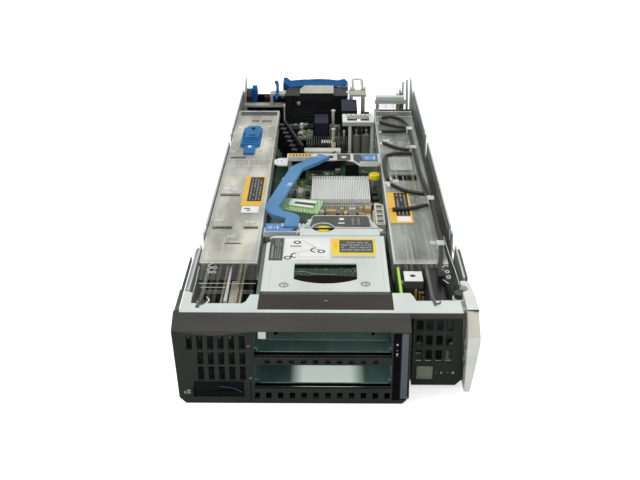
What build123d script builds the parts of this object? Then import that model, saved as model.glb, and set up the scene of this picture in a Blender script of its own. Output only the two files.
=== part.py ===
"""Half-height blade server with its access cover off.

Millimetres. X runs to the right seen from the front, Y from the front to the rear, Z up.
The origin is the middle of the footprint, on the underside of the tray. In the layout, y
counts from the front plane of the bezel to the rear. The layout is drawn at laid_size, and
spot stretches its places to the overall size.
"""
import os

from build123d import *

os.makedirs("parts", exist_ok=True)

# Overall size, and the size that the layout is drawn at
width = 181.0
depth = 517.0
height = 55.4
laid_size = (181.0, 517.0, 55.4)

# Sheet thicknesses and running gaps
sheet = 1.2
thin_sheet = 1.0
slide_gap = 0.3
pin_gap = 0.06
seat_gap = 0.3

# Tray and side plates
left_step = 4.7
right_step = 3.7
deck_drop = 0.9
tray_bend = 2.2
side_plate_sheet = 1.6
side_plate_end = 107.0
hook_start = 106.0
hook_pitch = 209.0
hook_width = 9.0
hook_notch_depth = 17.0

# Bezel
bezel_depth = 14.0
bezel_wall = 2.2
bezel_return = 1.0
bezel_split = 48.9
bezel_right = 80.6
bevel_drop = 6.1
bevel_run = 11.3
bezel_taper = 2.5
bezel_corner = 4.0
bay_left = -43.0
bay_right = 38.2
lower_bay_floor = 10.4
lower_bay_top = 26.7
upper_bay_floor = 32.0
upper_bay_top = 49.1
vent_width = 3.4
vent_pitch = 6.15
vent_first = -82.1
vent_rows = [(37.1, 46.3, 0), (26.9, 35.4, 1), (16.2, 25.4, 1)]
vent_columns = 6
mid_slot_width = 3.1
mid_slot_pitch = 7.05
mid_slot_first = -36.4
low_slot_width = 3.3
low_slot_pitch = 7.05
low_slot_first = -43.3
led_left = 38.9
led_width = 4.2
release_left = 43.7
release_width = 3.9
release_top = 48.3
release_bottom = 3.0
slit_left = -45.6

# Serial pull tab
tab_left = -79.7
tab_right = -49.1
tab_bottom = 4.4
tab_top = 15.3
tab_length = 56.0
tab_sheet = 1.0

# Handle with its cast cam
handle_front = 17.0
handle_shell = 7.0
handle_wall = 1.6
handle_left = 51.5
handle_right = 82.3
handle_bottom = 2.3
handle_top = 51.5
handle_vent_width = 3.9
handle_vent_pitch = 6.0
handle_vent_first = 53.4
handle_vent_rows = [(40.7, 47.5), (30.1, 37.3), (18.5, 27.0)]
cam_left = 83.0
cam_front = 8.3
cam_rear = 55.0
cam_bottom = 2.2
cam_nose_height = 40.5
pivot_x = 82.0
pivot_y = 45.0
pivot_radius = 2.0
knuckle_radius = 4.6
button_left = 54.3
button_bottom = 6.8
button_width = 10.0
button_height = 9.1

# Drive cage
cage_wall = 1.0
cage_depth = 118.0
cage_front = 2.5
cage_top_left = -40.9
cage_top_right = 38.6
cage_top_front = 40.2
cage_top_rear = 121.5
lens_half_width = 20.0
lens_front = 50.7
lens_shoulder = 56.7
lens_rear = 79.0

# Boards
board = 1.6
standoff_height = 5.8
standoff_radius = 2.4
screw_radius = 1.5
screw_head = 0.9
mezzanine_height = 30.0
option_level = 45.0

# Memory sockets
socket_length = 142.0
socket_width = 6.4
socket_height = 7.6
socket_pitch = 9.3
socket_groove = 1.6
latch_height = 17.0
left_front_bank = 50.0
right_front_bank = 106.0
rear_bank = 258.0

# Clear baffles
baffle_sheet = 1.2
baffle_height = 51.5
baffle_front = 84.5
baffle_rear = 411.0
baffle_skirt = 12.0
left_baffle_inner = -45.6
right_baffle_inner = 43.0
right_baffle_outer = 79.5
latch_left = -75.0
latch_right = -58.2
latch_front = 291.0
latch_rear = 362.0

# Brackets, lift handle and quarter turns
bracket_height = 52.0
front_bracket_front = 127.0
front_bracket_rear = 155.5
rear_bracket_front = 265.0
rear_bracket_rear = 293.0
lift_width = 10.0
lift_sheet = 2.8
lift_pivot_y = 139.0
lift_pin_radius = 0.8
knob_radius = 4.6
knob_height = 4.0
knob_stem = 1.6
front_knob = (-2.8, 135.6)
rear_knob = (38.0, 256.5)

# Mezzanine heat sink
sink_left = -12.4
sink_right = 33.0
sink_front = 210.0
sink_rear = 258.5
sink_height = 45.0
fin_count = 34
fin_width = 0.7

# Rear end, with reaches measured from the rear plane
cube_height = 41.5
connector_reach = 55.0
cap_reach = 32.0
bail_reach = 36.0
bail_wire = 1.0

# Cables
cable_radius = 1.5

# Levels and places that follow from the sizes above
stretch = (width / laid_size[0], depth / laid_size[1], height / laid_size[2])
half_width = laid_size[0] / 2
rear = laid_size[1]
crown = laid_size[2]
deck = crown - deck_drop
floor = sheet
board_top = floor + standoff_height + board
tray_left = -half_width + left_step
tray_right = half_width - right_step
inner_left = tray_left + sheet
inner_right = tray_right - sheet
cam_right = half_width
flange_under = deck - thin_sheet
flange_left = tray_left - side_plate_sheet
bezel_ledge = bevel_run + 0.5
cam_sweep = cam_rear - pivot_y + knuckle_radius
right_wall_start = pivot_y + cam_sweep
cage_left = bay_left - cage_wall
cage_right = bay_right + cage_wall
cage_roof = upper_bay_top + cage_wall
mezzanine_top = mezzanine_height + board
cable_level = baffle_height + cable_radius + 0.1


def spot(x, y, z):
    """A place of the layout, at the overall size and round the middle of the footprint."""
    return (x * stretch[0], (y - rear / 2) * stretch[1], z * stretch[2])


def block(x, y, z):
    """A box between two limits on each axis."""
    centre = spot((x[0] + x[1]) / 2, (y[0] + y[1]) / 2, (z[0] + z[1]) / 2)
    size = [(limits[1] - limits[0]) * grow for limits, grow in zip((x, y, z), stretch)]
    return Pos(*centre) * Box(*size)


def rod(x, y, z, radius):
    """An upright cylinder between two levels."""
    low = (Align.CENTER, Align.CENTER, Align.MIN)
    return Pos(*spot(x, y, z[0])) * Cylinder(radius, (z[1] - z[0]) * stretch[2], align=low)


def cross_rod(x, y, z, radius):
    """A cylinder that lies along X between two limits."""
    middle = Pos(*spot((x[0] + x[1]) / 2, y, z))
    return middle * Rot(0, 90, 0) * Cylinder(radius, (x[1] - x[0]) * stretch[0])


def plan(points, z):
    """A plan outline filled between two levels."""
    outline = Polyline(*[spot(x, y, z[0]) for x, y in points], close=True)
    return extrude(make_face(outline), amount=(z[1] - z[0]) * stretch[2], dir=(0, 0, 1))


def side(points, x):
    """A side profile of (y, z) points filled between two X limits."""
    outline = Polyline(*[spot(x[0], y, z) for y, z in points], close=True)
    return extrude(make_face(outline), amount=(x[1] - x[0]) * stretch[0], dir=(1, 0, 0))


def section(points, y):
    """A front profile of (x, z) points filled between two distances from the front."""
    outline = Polyline(*[spot(x, y[0], z) for x, z in points], close=True)
    return extrude(make_face(outline), amount=(y[1] - y[0]) * stretch[1], dir=(0, 1, 0))


def tube(points, radius):
    """A round cable along straight runs with arcs as large as the runs allow."""
    corners = [Vector(*spot(*point)) for point in points]
    radii = []
    for before, here, after in zip(corners, corners[1:], corners[2:]):
        turn = (here - before).get_angle(after - here)
        shorter = min((here - before).length, (after - here).length)
        radii.append(0.45 * shorter / tan_of(turn / 2))
    path = FilletPolyline(*corners, radius=radii)
    profile = Plane(path @ 0, z_dir=path % 0) * Circle(radius)
    return sweep(profile, path=path)


def tan_of(degrees):
    """Tangent of an angle in degrees, from a right triangle of unit base."""
    corner = Vector(1, 0, 0).rotate(Axis.Z, degrees)
    return corner.Y / corner.X


def save(name, *solids):
    """Write one node, a single solid or a group of separate ones."""
    shape = solids[0] if len(solids) == 1 else Compound(children=list(solids))
    shape.label = name
    export_step(shape, "parts/" + name + ".step")


# Chassis sheet metal

def hook_cuts(x):
    """Notches that leave a cover hook standing at each of the two hook places."""
    cuts = []
    low = deck - hook_notch_depth
    for start in (hook_start, hook_start + hook_pitch):
        hook = start + 2 * hook_width
        cuts.append(side([(start, deck + 1), (start + 5, low), (hook, low), (hook + 1.5, deck + 1)], x))
        after = hook + hook_width
        cuts.append(side([(after, deck + 1), (after, low + 8), (after + 4, low + 8),
                          (after + 8, deck + 1)], x))
        cuts.append(side([(hook + 3, deck - 9), (hook + 6, deck - 9), (hook + 6, deck - 3),
                          (hook + 4, deck - 3)], x))
    return cuts


def chassis_tray():
    length = (bezel_depth, rear)
    outer = block((tray_left, tray_right), length, (0, deck))
    outer = fillet(outer.edges().filter_by(Axis.Y).group_by(Axis.Z)[0], tray_bend)
    inner = block((inner_left, inner_right), (0, rear + 1), (floor, deck + 1))
    inner = fillet(inner.edges().filter_by(Axis.Y).group_by(Axis.Z)[0], tray_bend - sheet)
    tray = outer - inner
    left_wall = (tray_left - 1, inner_left + 1)
    right_wall = (inner_right - 1, tray_right + 1)
    tray -= hook_cuts(left_wall) + hook_cuts(right_wall)
    tray -= block(right_wall, (0, right_wall_start), (floor, crown))
    tray -= block(left_wall, (0, 41), (flange_under, crown))
    tray -= block((bezel_split, tray_right + 1), (0, handle_front + handle_shell + 2), (-1, deck))
    rear_slope = [(rear - 46, deck + 1), (rear - 40, deck - 8), (rear - 26, deck - 8),
                  (rear - 3, deck + 1)]
    tray -= side(rear_slope, left_wall)
    tray -= side(rear_slope, right_wall)
    return tray


def side_plate(x, start):
    """Outer skin at the front of a wall, which carries the bezel and the flange."""
    top = deck if start > 41 else flange_under
    step = [] if start > 41 else [(41, flange_under), (41, deck)]
    end = side_plate_end
    outline = [(start, 2), (start, top)] + step + [(end - 6, deck), (end, deck - 14), (end, 2)]
    return side(outline, x)


def front_flange():
    """Light sheet behind the bezel, stepped round the memory bays and the drive cage."""
    left = flange_left
    y0 = bezel_ledge
    y1 = bezel_depth + 3
    outline = [(left, y0), (bezel_right - 0.3, y0), (bezel_right - 0.3, 28.6), (53.5, 28.6),
               (52.4, 34), (50.8, 38.5), (cage_top_right + 1, 38.5), (cage_top_right + 1, y1),
               (cage_top_left - 0.6, y1), (cage_top_left - 0.6, 36), (-46.8, 36), (-49, 27),
               (-51, 24.6), (-81.6, 24.6), (-82.4, 38), (-85.6, 40), (left, 40)]
    flange = plan(outline, (flange_under, deck))
    hooks = [block((-78.4, -76), (19, 24.7), (flange_under - 1, deck + 1)),
             block((63.6, 65.4), (22, 28.7), (flange_under - 1, deck + 1))]
    return flange - hooks


# Front plastics

def bezel():
    left = -half_width
    top = crown - bevel_drop
    front_profile = [(0, 0), (0, top), (bevel_run, crown), (bezel_depth, crown), (bezel_depth, 0)]
    shell = side(front_profile, (left, bezel_split))
    outline = [(left + bezel_taper, bezel_corner), (left + bezel_taper + bezel_corner, 0),
               (bezel_split - bezel_corner, 0), (bezel_split, bezel_corner),
               (bezel_split, crown + 1), (left, crown + 1), (left, top)]
    shell &= section(outline, (-1, bezel_depth + 1))
    w = bezel_wall
    ceiling = flange_under - w
    hollow = [(w, w), (w, top - 1), (bevel_run - 3, ceiling), (bezel_depth + 1, ceiling),
              (bezel_depth + 1, w)]
    shell -= side(hollow, (left + bezel_taper + w, bezel_split - bezel_return))
    bar = side([(bevel_run, crown - 3.4), (bevel_run, crown), (bezel_depth, crown),
                (bezel_depth, crown - 3.4)], (bezel_split - 1, bezel_right))
    shell += bar
    shell -= block((flange_left, bezel_right + 1), (bezel_ledge, bezel_depth + 1), (flange_under, crown + 1))
    through = (-1, w + 1)
    cuts = [block((bay_left, bay_right), through, (lower_bay_floor, lower_bay_top)),
            block((bay_left, bay_right), through, (upper_bay_floor, upper_bay_top))]
    for low, high, first in vent_rows:
        for column in range(first, vent_columns):
            x = vent_first + vent_pitch * column
            cuts.append(block((x, x + vent_width), through, (low, high)))
    for i in range(10):
        x = mid_slot_first + mid_slot_pitch * i
        cuts.append(block((x, x + mid_slot_width), through, (27.8, 30.2)))
    for i in range(12):
        x = low_slot_first + low_slot_pitch * i
        cuts.append(block((x, x + low_slot_width), through, (3.3, 7.5)))
    cuts.append(block((tab_left, tab_right), through, (tab_bottom, tab_top)))
    led = (led_left - 0.1, led_left + led_width + 0.1)
    cuts.append(block(led, (-1, 1.0), (2.4, 48.6)))
    release = (release_left - slide_gap, release_left + release_width + slide_gap)
    cuts.append(block(release, through, (release_bottom - slide_gap, release_top + slide_gap)))
    cuts.append(block((slit_left, slit_left + 0.8), (-1, 0.8), (1.4, 15.5)))
    return shell - cuts


def led_column():
    x = (led_left, led_left + led_width)
    column = block(x, (0.1, 1.0), (2.5, 48.5))
    ribs = [block(x, (0, 0.4), (z, z + 0.9)) for z in (13.4, 24.6, 35.8)]
    return column - ribs


def release_button():
    x = (release_left, release_left + release_width)
    top = release_top
    low = release_bottom
    return side([(0, low + 0.6), (0, top - 0.6), (0.6, top), (1.4, top), (1.4, top - 0.6),
                 (4.0, top - 0.6), (4.0, low), (0.6, low)], x)


def serial_pull_tab():
    x = (tab_left + slide_gap, tab_right - slide_gap)
    low = tab_bottom + slide_gap
    high = tab_top - slide_gap
    ledge = bezel_wall + 2.6
    profile = [(0.8, low), (0.8, low + 1.2), (bezel_wall, low + 2.4), (bezel_wall, high), (ledge, high),
               (ledge, low + tab_sheet), (tab_length, low + tab_sheet), (tab_length, low)]
    tab = side(profile, x)
    pocket = section([(tab_right - 20, low + 2.6), (tab_right - 2.5, low + 2.6),
                      (tab_right - 2.5, low + 4.8)], (0, bezel_wall + 0.8))
    return tab - pocket


def handle_cover():
    y = (handle_front, handle_front + handle_shell)
    right = handle_right
    corner = 4.0
    outline = [(handle_left, handle_bottom), (right - corner, handle_bottom),
               (right, handle_bottom + corner), (right - 1.6, handle_top), (handle_left, handle_top)]
    cover = section(outline, y)
    w = handle_wall
    inner = [(handle_left + w, handle_bottom + w), (right - corner, handle_bottom + w),
             (right - w, handle_bottom + corner + w), (right - w - 1.6, handle_top - w),
             (handle_left + w, handle_top - w)]
    cover -= section(inner, (handle_front + w, y[1] + 1))
    cuts = []
    through = (handle_front - 1, handle_front + w + 1)
    for low, high in handle_vent_rows:
        for i in range(4):
            x = handle_vent_first + handle_vent_pitch * i
            cuts.append(block((x, x + handle_vent_width), through, (low, high)))
    x = (button_left - slide_gap, button_left + button_width + slide_gap)
    z = (button_bottom - slide_gap, button_bottom + button_height + slide_gap)
    cuts.append(block(x, through, z))
    return cover - cuts


def handle_cam():
    """Cast cam that claws the enclosure, with the two rails that carry the handle's cover."""
    profile = [(cam_front + 1.6, cam_bottom), (cam_front, 16), (cam_front, cam_nose_height),
               (cam_front + 9.7, deck), (cam_rear, deck), (cam_rear, cam_bottom + 9),
               (cam_rear - 9, cam_bottom)]
    outline = [(cam_left, cam_bottom), (cam_right - 4, cam_bottom), (cam_right, 36),
               (cam_right, cam_nose_height), (cam_right - 0.8, deck), (cam_left, deck)]
    view = [(cam_left, cam_front), (cam_right, cam_front), (cam_right, cam_front + 18),
            (cam_right - 2, cam_rear - 3), (cam_right - 4, cam_rear), (cam_left, cam_rear)]
    cam = side(profile, (cam_left, cam_right))
    cam &= section(outline, (0, cam_rear + 1))
    cam &= plan(view, (0, crown))
    rail_y = (handle_front + handle_shell, handle_front + handle_shell + 3)
    for low, high in ((4.0, 14.0), (handle_top - 3.4, handle_top - 0.6)):
        cam += block((handle_left + 3, cam_left + 1), rail_y, (low, high))
    knuckles = [(5.0, 14.0), (39.0, 48.0)]
    for z in knuckles:
        cam += rod(pivot_x, pivot_y, z, knuckle_radius)
        cam += block((pivot_x, cam_left + 1), (pivot_y - knuckle_radius, pivot_y + knuckle_radius), z)
    clear = pivot_radius + 1.0
    cam -= rod(pivot_x, pivot_y, (0, crown), pivot_radius + pin_gap)
    cam -= rod(pivot_x, pivot_y, (0, knuckles[0][0]), clear)
    cam -= rod(pivot_x, pivot_y, (knuckles[0][1], knuckles[1][0]), clear)
    cam -= rod(pivot_x, pivot_y, (knuckles[1][1], crown), knuckle_radius)
    pockets = [block((cam_left - 1, cam_left + 1.6), (12, 22), (z, z + 6)) for z in (16, 27)]
    return cam - pockets


def handle_pin():
    head = rod(pivot_x, pivot_y, (48.0 + slide_gap, 51.5), knuckle_radius - 1)
    return rod(pivot_x, pivot_y, (floor, 49.0), pivot_radius) + head


def power_button():
    x = (button_left, button_left + button_width)
    z = (button_bottom, button_bottom + button_height)
    cap = block(x, (handle_front - 0.5, handle_front + 4.5), z)
    return fillet(cap.faces().sort_by(Axis.Y)[0].edges(), 0.4)


# Drive cage

def drive_cage():
    """Galvanised box with two bays, an air gap between them and open feet below."""
    y = (cage_front, cage_depth)
    w = cage_wall
    shell = block((cage_left, cage_right), y, (floor, cage_roof))
    spans = [(floor - 1, lower_bay_floor - w), (lower_bay_floor, lower_bay_top),
             (lower_bay_top + w, upper_bay_floor - w), (upper_bay_floor, upper_bay_top)]
    inside = (cage_left + w, cage_right - w)
    shell -= [block(inside, (0, rear), z) for z in spans]
    rails = []
    for z in (lower_bay_floor, upper_bay_floor):
        for x in ((inside[0], inside[0] + 1.2), (inside[1] - 1.2, inside[1])):
            rails.append(block(x, (cage_front + 3, cage_depth - 12), (z + 2.4, z + 3.6)))
    for rail in rails:
        shell += rail
    windows = []
    for y0 in (46, 78):
        windows.append(block((cage_left - 1, cage_right + 1), (y0, y0 + 20), (14.5, 24.5)))
    lip = (cage_left - 1, cage_right + 1)
    shell -= block(lip, (0, bezel_depth + seat_gap), (0, bezel_wall + seat_gap))
    shell -= block(lip, (0, 6.6), (crown - bevel_drop - 1.6, crown))
    return shell - windows


def lens_cutout(z):
    """Window with a straight rear edge and an arched front."""
    half = lens_half_width
    centre = (cage_top_left + cage_top_right) / 2
    left, right = (spot(centre + x, lens_shoulder, z[0]) for x in (-half, half))
    back_left, back_right = (spot(centre + x, lens_rear, z[0]) for x in (-half, half))
    arc = ThreePointArc(left, spot(centre, lens_front, z[0]), right)
    outline = arc + Line(right, back_right) + Line(back_right, back_left) + Line(back_left, left)
    return extrude(make_face(outline), amount=(z[1] - z[0]) * stretch[2], dir=(0, 0, 1))


def cage_top():
    """Light top plate of the cage, an inverted channel that stands on the cage's roof."""
    x = (cage_top_left, cage_top_right)
    notch = cage_top_rear - 12
    outline = [(x[0], cage_top_front), (x[1], cage_top_front), (x[1], cage_top_rear),
               (x[0] + 5, cage_top_rear), (x[0] + 1.5, cage_top_rear - 3), (x[0] + 3, notch + 3),
               (x[0], notch)]
    plate = plan(outline, (cage_roof, deck))
    plate -= block((x[0] + thin_sheet, x[1] - thin_sheet), (0, rear), (0, deck - thin_sheet))
    plate -= lens_cutout((deck - 2, deck + 1))
    for hole_x, hole_y in cage_screw_places:
        plate -= rod(hole_x, hole_y, (deck - 2, deck + 1), screw_radius + 0.2)
    return plate


def cage_front_cover():
    """Dark strip between the flange and the top plate."""
    x = (cage_top_left - 0.3, cage_top_right + 0.7)
    y = (bezel_depth + 3.2, cage_top_front - 0.1)
    strip = block(x, y, (cage_roof, deck - 0.3))
    strip -= block((x[0] + thin_sheet, x[1] - thin_sheet), (y[0] + thin_sheet, rear), (0, deck - 1.5))
    return strip


cage_screw_places = [(-27.0, 48.4), (23.8, 50.0)]


def cage_board():
    """Small board under the window, held off the roof by its own feet."""
    centre = (cage_top_left + cage_top_right) / 2
    half = lens_half_width + 3
    card = block((centre - half, centre + half), (44, 100), (cage_roof + 1, cage_roof + 1 + board))
    for x in (centre - half + 4, centre + half - 4):
        for y in (54, 94):
            card += rod(x, y, (cage_roof, cage_roof + 1), 2)
    chips = [block((centre - 14, centre - 6), (60, 70), (cage_roof + 1 + board, cage_roof + 3.1)),
             block((centre + 2, centre + 16), (62, 70), (cage_roof + 1 + board, cage_roof + 3.1))]
    for chip in chips:
        card += chip
    return card


def screw(x, y, seat, length=4.0):
    """Pan head screw whose head rests on a seat."""
    head = rod(x, y, (seat, seat + screw_head), screw_radius * 1.7)
    head = chamfer(head.edges().group_by(Axis.Z)[-1], screw_head * 0.4)
    return head + rod(x, y, (seat - length, seat), screw_radius)


def drive_backplane():
    y = (cage_depth + seat_gap, cage_depth + seat_gap + board)
    plate = block((bay_left + 0.5, bay_right - 0.5), y, (board_top + 0.2, upper_bay_top))
    vents = [block((x, x + 9), (y[0] - 1, y[1] + 1), (27, 31)) for x in (-38, -20, 8, 26)]
    return plate - vents


def drive_connectors():
    """One blade socket for the drive in each bay."""
    plugs = []
    centre = (bay_left + bay_right) / 2
    for z in (lower_bay_floor + 4, upper_bay_floor + 4):
        body = block((centre - 17, centre + 17), (cage_depth - 9, cage_depth + seat_gap), (z, z + 5))
        groove = block((centre - 15, centre + 15), (cage_depth - 10, cage_depth - 3), (z + 1.8, z + 3.2))
        plugs.append(body - groove)
    return plugs


# Boards, memory sockets and inner parts

board_fasteners = [(-76, 205), (-54, 245), (-66, 430), (-30, 184), (20, 184), (-30, 318),
                   (30, 330), (66, 98), (66, 253), (66, 430), (-50, 490)]


def system_board():
    """Main board, cut away round the drive cage and the handle."""
    left = inner_left + 1.2
    right = inner_right - 1.2
    leg = cage_depth + 5
    outline = [(left, 30), (cage_left - 1, 30), (cage_left - 1, leg), (cage_right + 1, leg),
               (cage_right + 1, 36), (74, 36), (74, right_wall_start + 4), (right, right_wall_start + 4),
               (right, rear - 10), (left, rear - 10)]
    low = floor + standoff_height
    slab = plan(outline, (low, low + board))
    holes = [rod(x, y, (0, crown), screw_radius + 0.2) for x, y in board_fasteners]
    return slab - holes


def standoffs():
    posts = []
    for x, y in board_fasteners:
        post = rod(x, y, (floor, floor + standoff_height), standoff_radius)
        posts.append(post - rod(x, y, (floor + 1.5, crown), screw_radius + 0.05))
    return posts


def screws():
    """Screws of the main board and the two in the cage's top plate."""
    on_board = [screw(x, y, board_top) for x, y in board_fasteners]
    return on_board + [screw(x, y, deck, 3.0) for x, y in cage_screw_places]


def bank_columns(first, step):
    return [first + step * i for i in range(4)]


left_columns = bank_columns(inner_left + 4.8, socket_pitch)
right_columns = bank_columns(inner_right - 7.6, -socket_pitch)


def memory_socket(x, y):
    """Long socket with the key and slot that a module drops into."""
    low = board_top
    end = y + socket_length
    half = socket_width / 2
    body = block((x - half, x + half), (y + 6, end - 6), (low, low + socket_height))
    body -= block((x - socket_groove / 2, x + socket_groove / 2), (y + 7, end - 7),
                  (low + 2, low + socket_height + 1))
    for span in ((y, y + 7), (end - 7, end)):
        body += block((x - half, x + half), span, (low, low + 3.2))
    return body


def memory_latch(x, y, facing):
    """Ejector that stands in the end of a socket and leans over the module's notch."""
    z = board_top + 3.2
    top = board_top + latch_height
    profile = [(y, z), (y + 4.6 * facing, z), (y + 4.6 * facing, z + 5), (y + 3.4 * facing, z + 9),
               (y + 5.2 * facing, top - 3), (y + 4.4 * facing, top), (y - 0.6 * facing, top),
               (y + 0.4 * facing, z + 8)]
    return side(profile, (x - 2.4, x + 2.4))


def memory_banks(columns, starts):
    return [memory_socket(x, y) for y in starts for x in columns]


def memory_latches():
    parts = []
    for columns, starts in ((left_columns, (left_front_bank, rear_bank)),
                            (right_columns, (right_front_bank, rear_bank))):
        for y in starts:
            for x in columns:
                parts.append(memory_latch(x, y + 1.2, 1))
                parts.append(memory_latch(x, y + socket_length - 1.2, -1))
    return parts


def latch_guides():
    """Two low clear ribs that keep the blue latch on its line."""
    ribs = []
    for x in ((latch_left - 1.6, latch_left - slide_gap), (latch_right + slide_gap, latch_right + 1.6)):
        ribs.append(block(x, (latch_front + 6, latch_rear - 6), (baffle_height, baffle_height + 1.6)))
    return ribs


def baffle(x, arm_x, cuts):
    """Clear air guide: a top sheet with skirts, and a front arm that hooks over the flange."""
    t = baffle_sheet
    top = baffle_height
    outer = block(x, (baffle_front, baffle_rear), (top - baffle_skirt, top))
    outer = fillet(outer.edges().filter_by(Axis.Y).group_by(Axis.Z)[-1], 2.0)
    hollow = block((x[0] + t, x[1] - t), (baffle_front + t, baffle_rear + 1), (0, top - t))
    guide = outer - hollow
    guide -= block((x[0] - 1, x[1] + 1), (baffle_rear - 26, baffle_rear + 1), (0, top - 5))
    over = deck + 0.1
    arm = side([(baffle_front + 2, top - 2), (baffle_front + 2, top), (40, top), (34, deck - 1.2),
                (26, deck - 1.2), (24.6, over + 0.5), (20.8, over + 0.5), (20.8, over), (23, over),
                (23.4, top + 0.6), (34, top + 0.6), (38, top - 2)], arm_x)
    return guide - cuts + arm


def baffle_left():
    x = (inner_left + 0.5, left_baffle_inner)
    through = (baffle_height - 3, baffle_height + 1)
    cuts = [block((-81.5, -66.5), (201.0, 205.5), through), block((-81.2, -67.2), (140.5, 145.0), through),
            block((-59.4, -49.0), (140.5, 145.0), through), block((-81.0, -68.5), (284.0, 287.0), through),
            block((-70.0, -63.5), (381.0, 385.0), through), block((-60.5, -52.0), (381.0, 385.0), through),
            block((latch_left + 3, latch_right - 3), (latch_front + 24, latch_front + 44), through)]
    guide = baffle(x, (-78.2, -76.2), cuts)
    for rail in latch_guides():
        guide += rail
    return guide + block((-78.0, left_baffle_inner), (46, 47.4), (baffle_height - 2, baffle_height))


def baffle_right():
    x = (right_baffle_inner, right_baffle_outer)
    through = (baffle_height - 3, baffle_height + 1)
    cuts = [block((50.5, 71.5), (233.0, 247.5), through), block((50.5, 60.0), (340.0, 343.0), through)]
    guide = baffle(x, (63.7, 65.3), cuts)
    raised = block((50.0, 69.0), (251.0, 281.0), (baffle_height - 1, baffle_height + 1.8))
    return guide + fillet(raised.edges().filter_by(Axis.Z), 3.0)


def baffle_latch():
    """Blue sliding latch with finger ribs, running on the left baffle."""
    low = baffle_height + slide_gap / 3
    middle = (latch_left + latch_right) / 2
    front_half = 4.6
    rear_half = 8.4
    outline = [(middle - front_half, latch_front), (middle + front_half, latch_front),
               (middle + front_half, latch_front + 16), (middle + rear_half, latch_front + 20),
               (middle + rear_half, latch_rear - 8), (middle + front_half, latch_rear),
               (middle - front_half, latch_rear), (middle - rear_half, latch_rear - 8),
               (middle - rear_half, latch_front + 20), (middle - front_half, latch_front + 16)]
    latch = plan(outline, (low, low + 1.6))
    for i in range(5):
        y = latch_front + 20 + 4.2 * i
        latch += block((middle - rear_half + 1, middle + rear_half - 1), (y, y + 1.4), (low + 1, low + 2.6))
    latch += block((middle - 2.5, middle + 2.5), (latch_rear - 26, latch_rear - 6), (low + 1, low + 2.4))
    tongue = block((middle - 3, middle + 3), (latch_front + 30, latch_front + 36), (low - 3, low + 1))
    return latch + tongue


# Centre: brackets, lift handle, quarter turns and mezzanine

def legs(x, y, top):
    """Four bent legs that carry a bracket on the main board."""
    posts = []
    for px in x:
        for py in y:
            posts.append(block((px, px + 3), (py, py + thin_sheet), (board_top, top)))
    return posts


def front_bracket():
    top = bracket_height
    outline = [(-44.5, front_bracket_front), (-21.5, front_bracket_front), (-19.5, 133.4), (36.5, 133.4),
               (39.5, 137.5), (36.0, 141.0), (31.0, front_bracket_rear), (-13.5, front_bracket_rear),
               (-17.0, 148.0), (-20.0, 144.0), (-42.5, 144.0), (-44.5, 140.0)]
    plate = plan(outline, (top - thin_sheet, top))
    arch = rod(front_knob[0], front_knob[1], (top - 3, top + 1), knob_radius + 2.4)
    plate -= arch
    for post in legs((-43.5, 31.5), (front_bracket_front + 7.2,), top - thin_sheet / 2):
        plate += post
    plate += block((-30, -26), (143, 144), (board_top, top - thin_sheet / 2))
    plate += block((10, 14), (front_bracket_rear - 1, front_bracket_rear), (board_top, top - thin_sheet / 2))
    ear_top = lift_level + lift_sheet / 2
    for x in lift_ears:
        ear_y = (lift_pivot_y - 2.2, lift_pivot_y + 2.2)
        plate += block((x, x + ear_sheet), ear_y, (top - thin_sheet, ear_top))
    bore = cross_rod((lift_ears[0] - 1, lift_ears[1] + 3), lift_pivot_y, lift_level, lift_pin_radius + 0.02)
    return plate - bore


def rear_bracket():
    top = bracket_height
    outline = [(-33, rear_bracket_front + 12), (-5, rear_bracket_front + 12), (14, rear_bracket_front + 14),
               (22, rear_bracket_front + 9), (26, rear_bracket_front), (41.5, rear_bracket_front),
               (43.2, rear_bracket_front + 2), (43.2, rear_bracket_rear), (-34, rear_bracket_rear),
               (-34, rear_bracket_front + 17), (-40, rear_bracket_front + 17),
               (-44.2, rear_bracket_front + 12.5), (-44.2, rear_bracket_front + 4),
               (-40, rear_bracket_front), (-33, rear_bracket_front)]
    plate = plan(outline, (top - thin_sheet, top))
    for post in legs((-33.5, 39.5), (rear_bracket_rear - thin_sheet,), top - thin_sheet / 2):
        plate += post
    slot = block((0.5, 4.5), (rear_bracket_front + 17, rear_bracket_front + 24), (top - 3, top + 1))
    return plate - slot


lift_level = bracket_height + slide_gap + lift_sheet / 2
lift_tip_x = -25.6
ear_sheet = 1.4
lift_ears = (lift_tip_x - lift_width / 2 - slide_gap - ear_sheet, lift_tip_x + lift_width / 2 + slide_gap)
lift_line = [(lift_tip_x, lift_pivot_y), (-24.4, 153.5), (-36.5, 160.8), (-41.0, 171.5),
             (-24.8, 252.5), (-12.5, 266.5), (-2.6, 281.0)]
lift_bends = [6.0, 9.0, 9.0, 14.0, 24.0]


def lift_handle():
    """Flat S-shaped grip, hinged at its front tip and lying on the rear bracket."""
    points = [Vector(*spot(x, y, lift_level)) for x, y in lift_line]
    path = FilletPolyline(*points, radius=lift_bends)
    start = path % 0
    across = Plane(path @ 0, x_dir=start.cross(Vector(0, 0, 1)), z_dir=start)
    grip = sweep(across * Rectangle(lift_width * stretch[0], lift_sheet * stretch[2]), path=path)
    width_limits = (lift_tip_x - lift_width / 2, lift_tip_x + lift_width / 2)
    barrel = cross_rod(width_limits, lift_pivot_y, lift_level, lift_sheet / 2)
    bore = cross_rod((lift_ears[0], lift_ears[1] + 2), lift_pivot_y, lift_level, lift_pin_radius + pin_gap)
    return grip + barrel - bore


def lift_pin():
    return cross_rod((lift_ears[0], lift_ears[1] + ear_sheet), lift_pivot_y, lift_level, lift_pin_radius)


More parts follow.
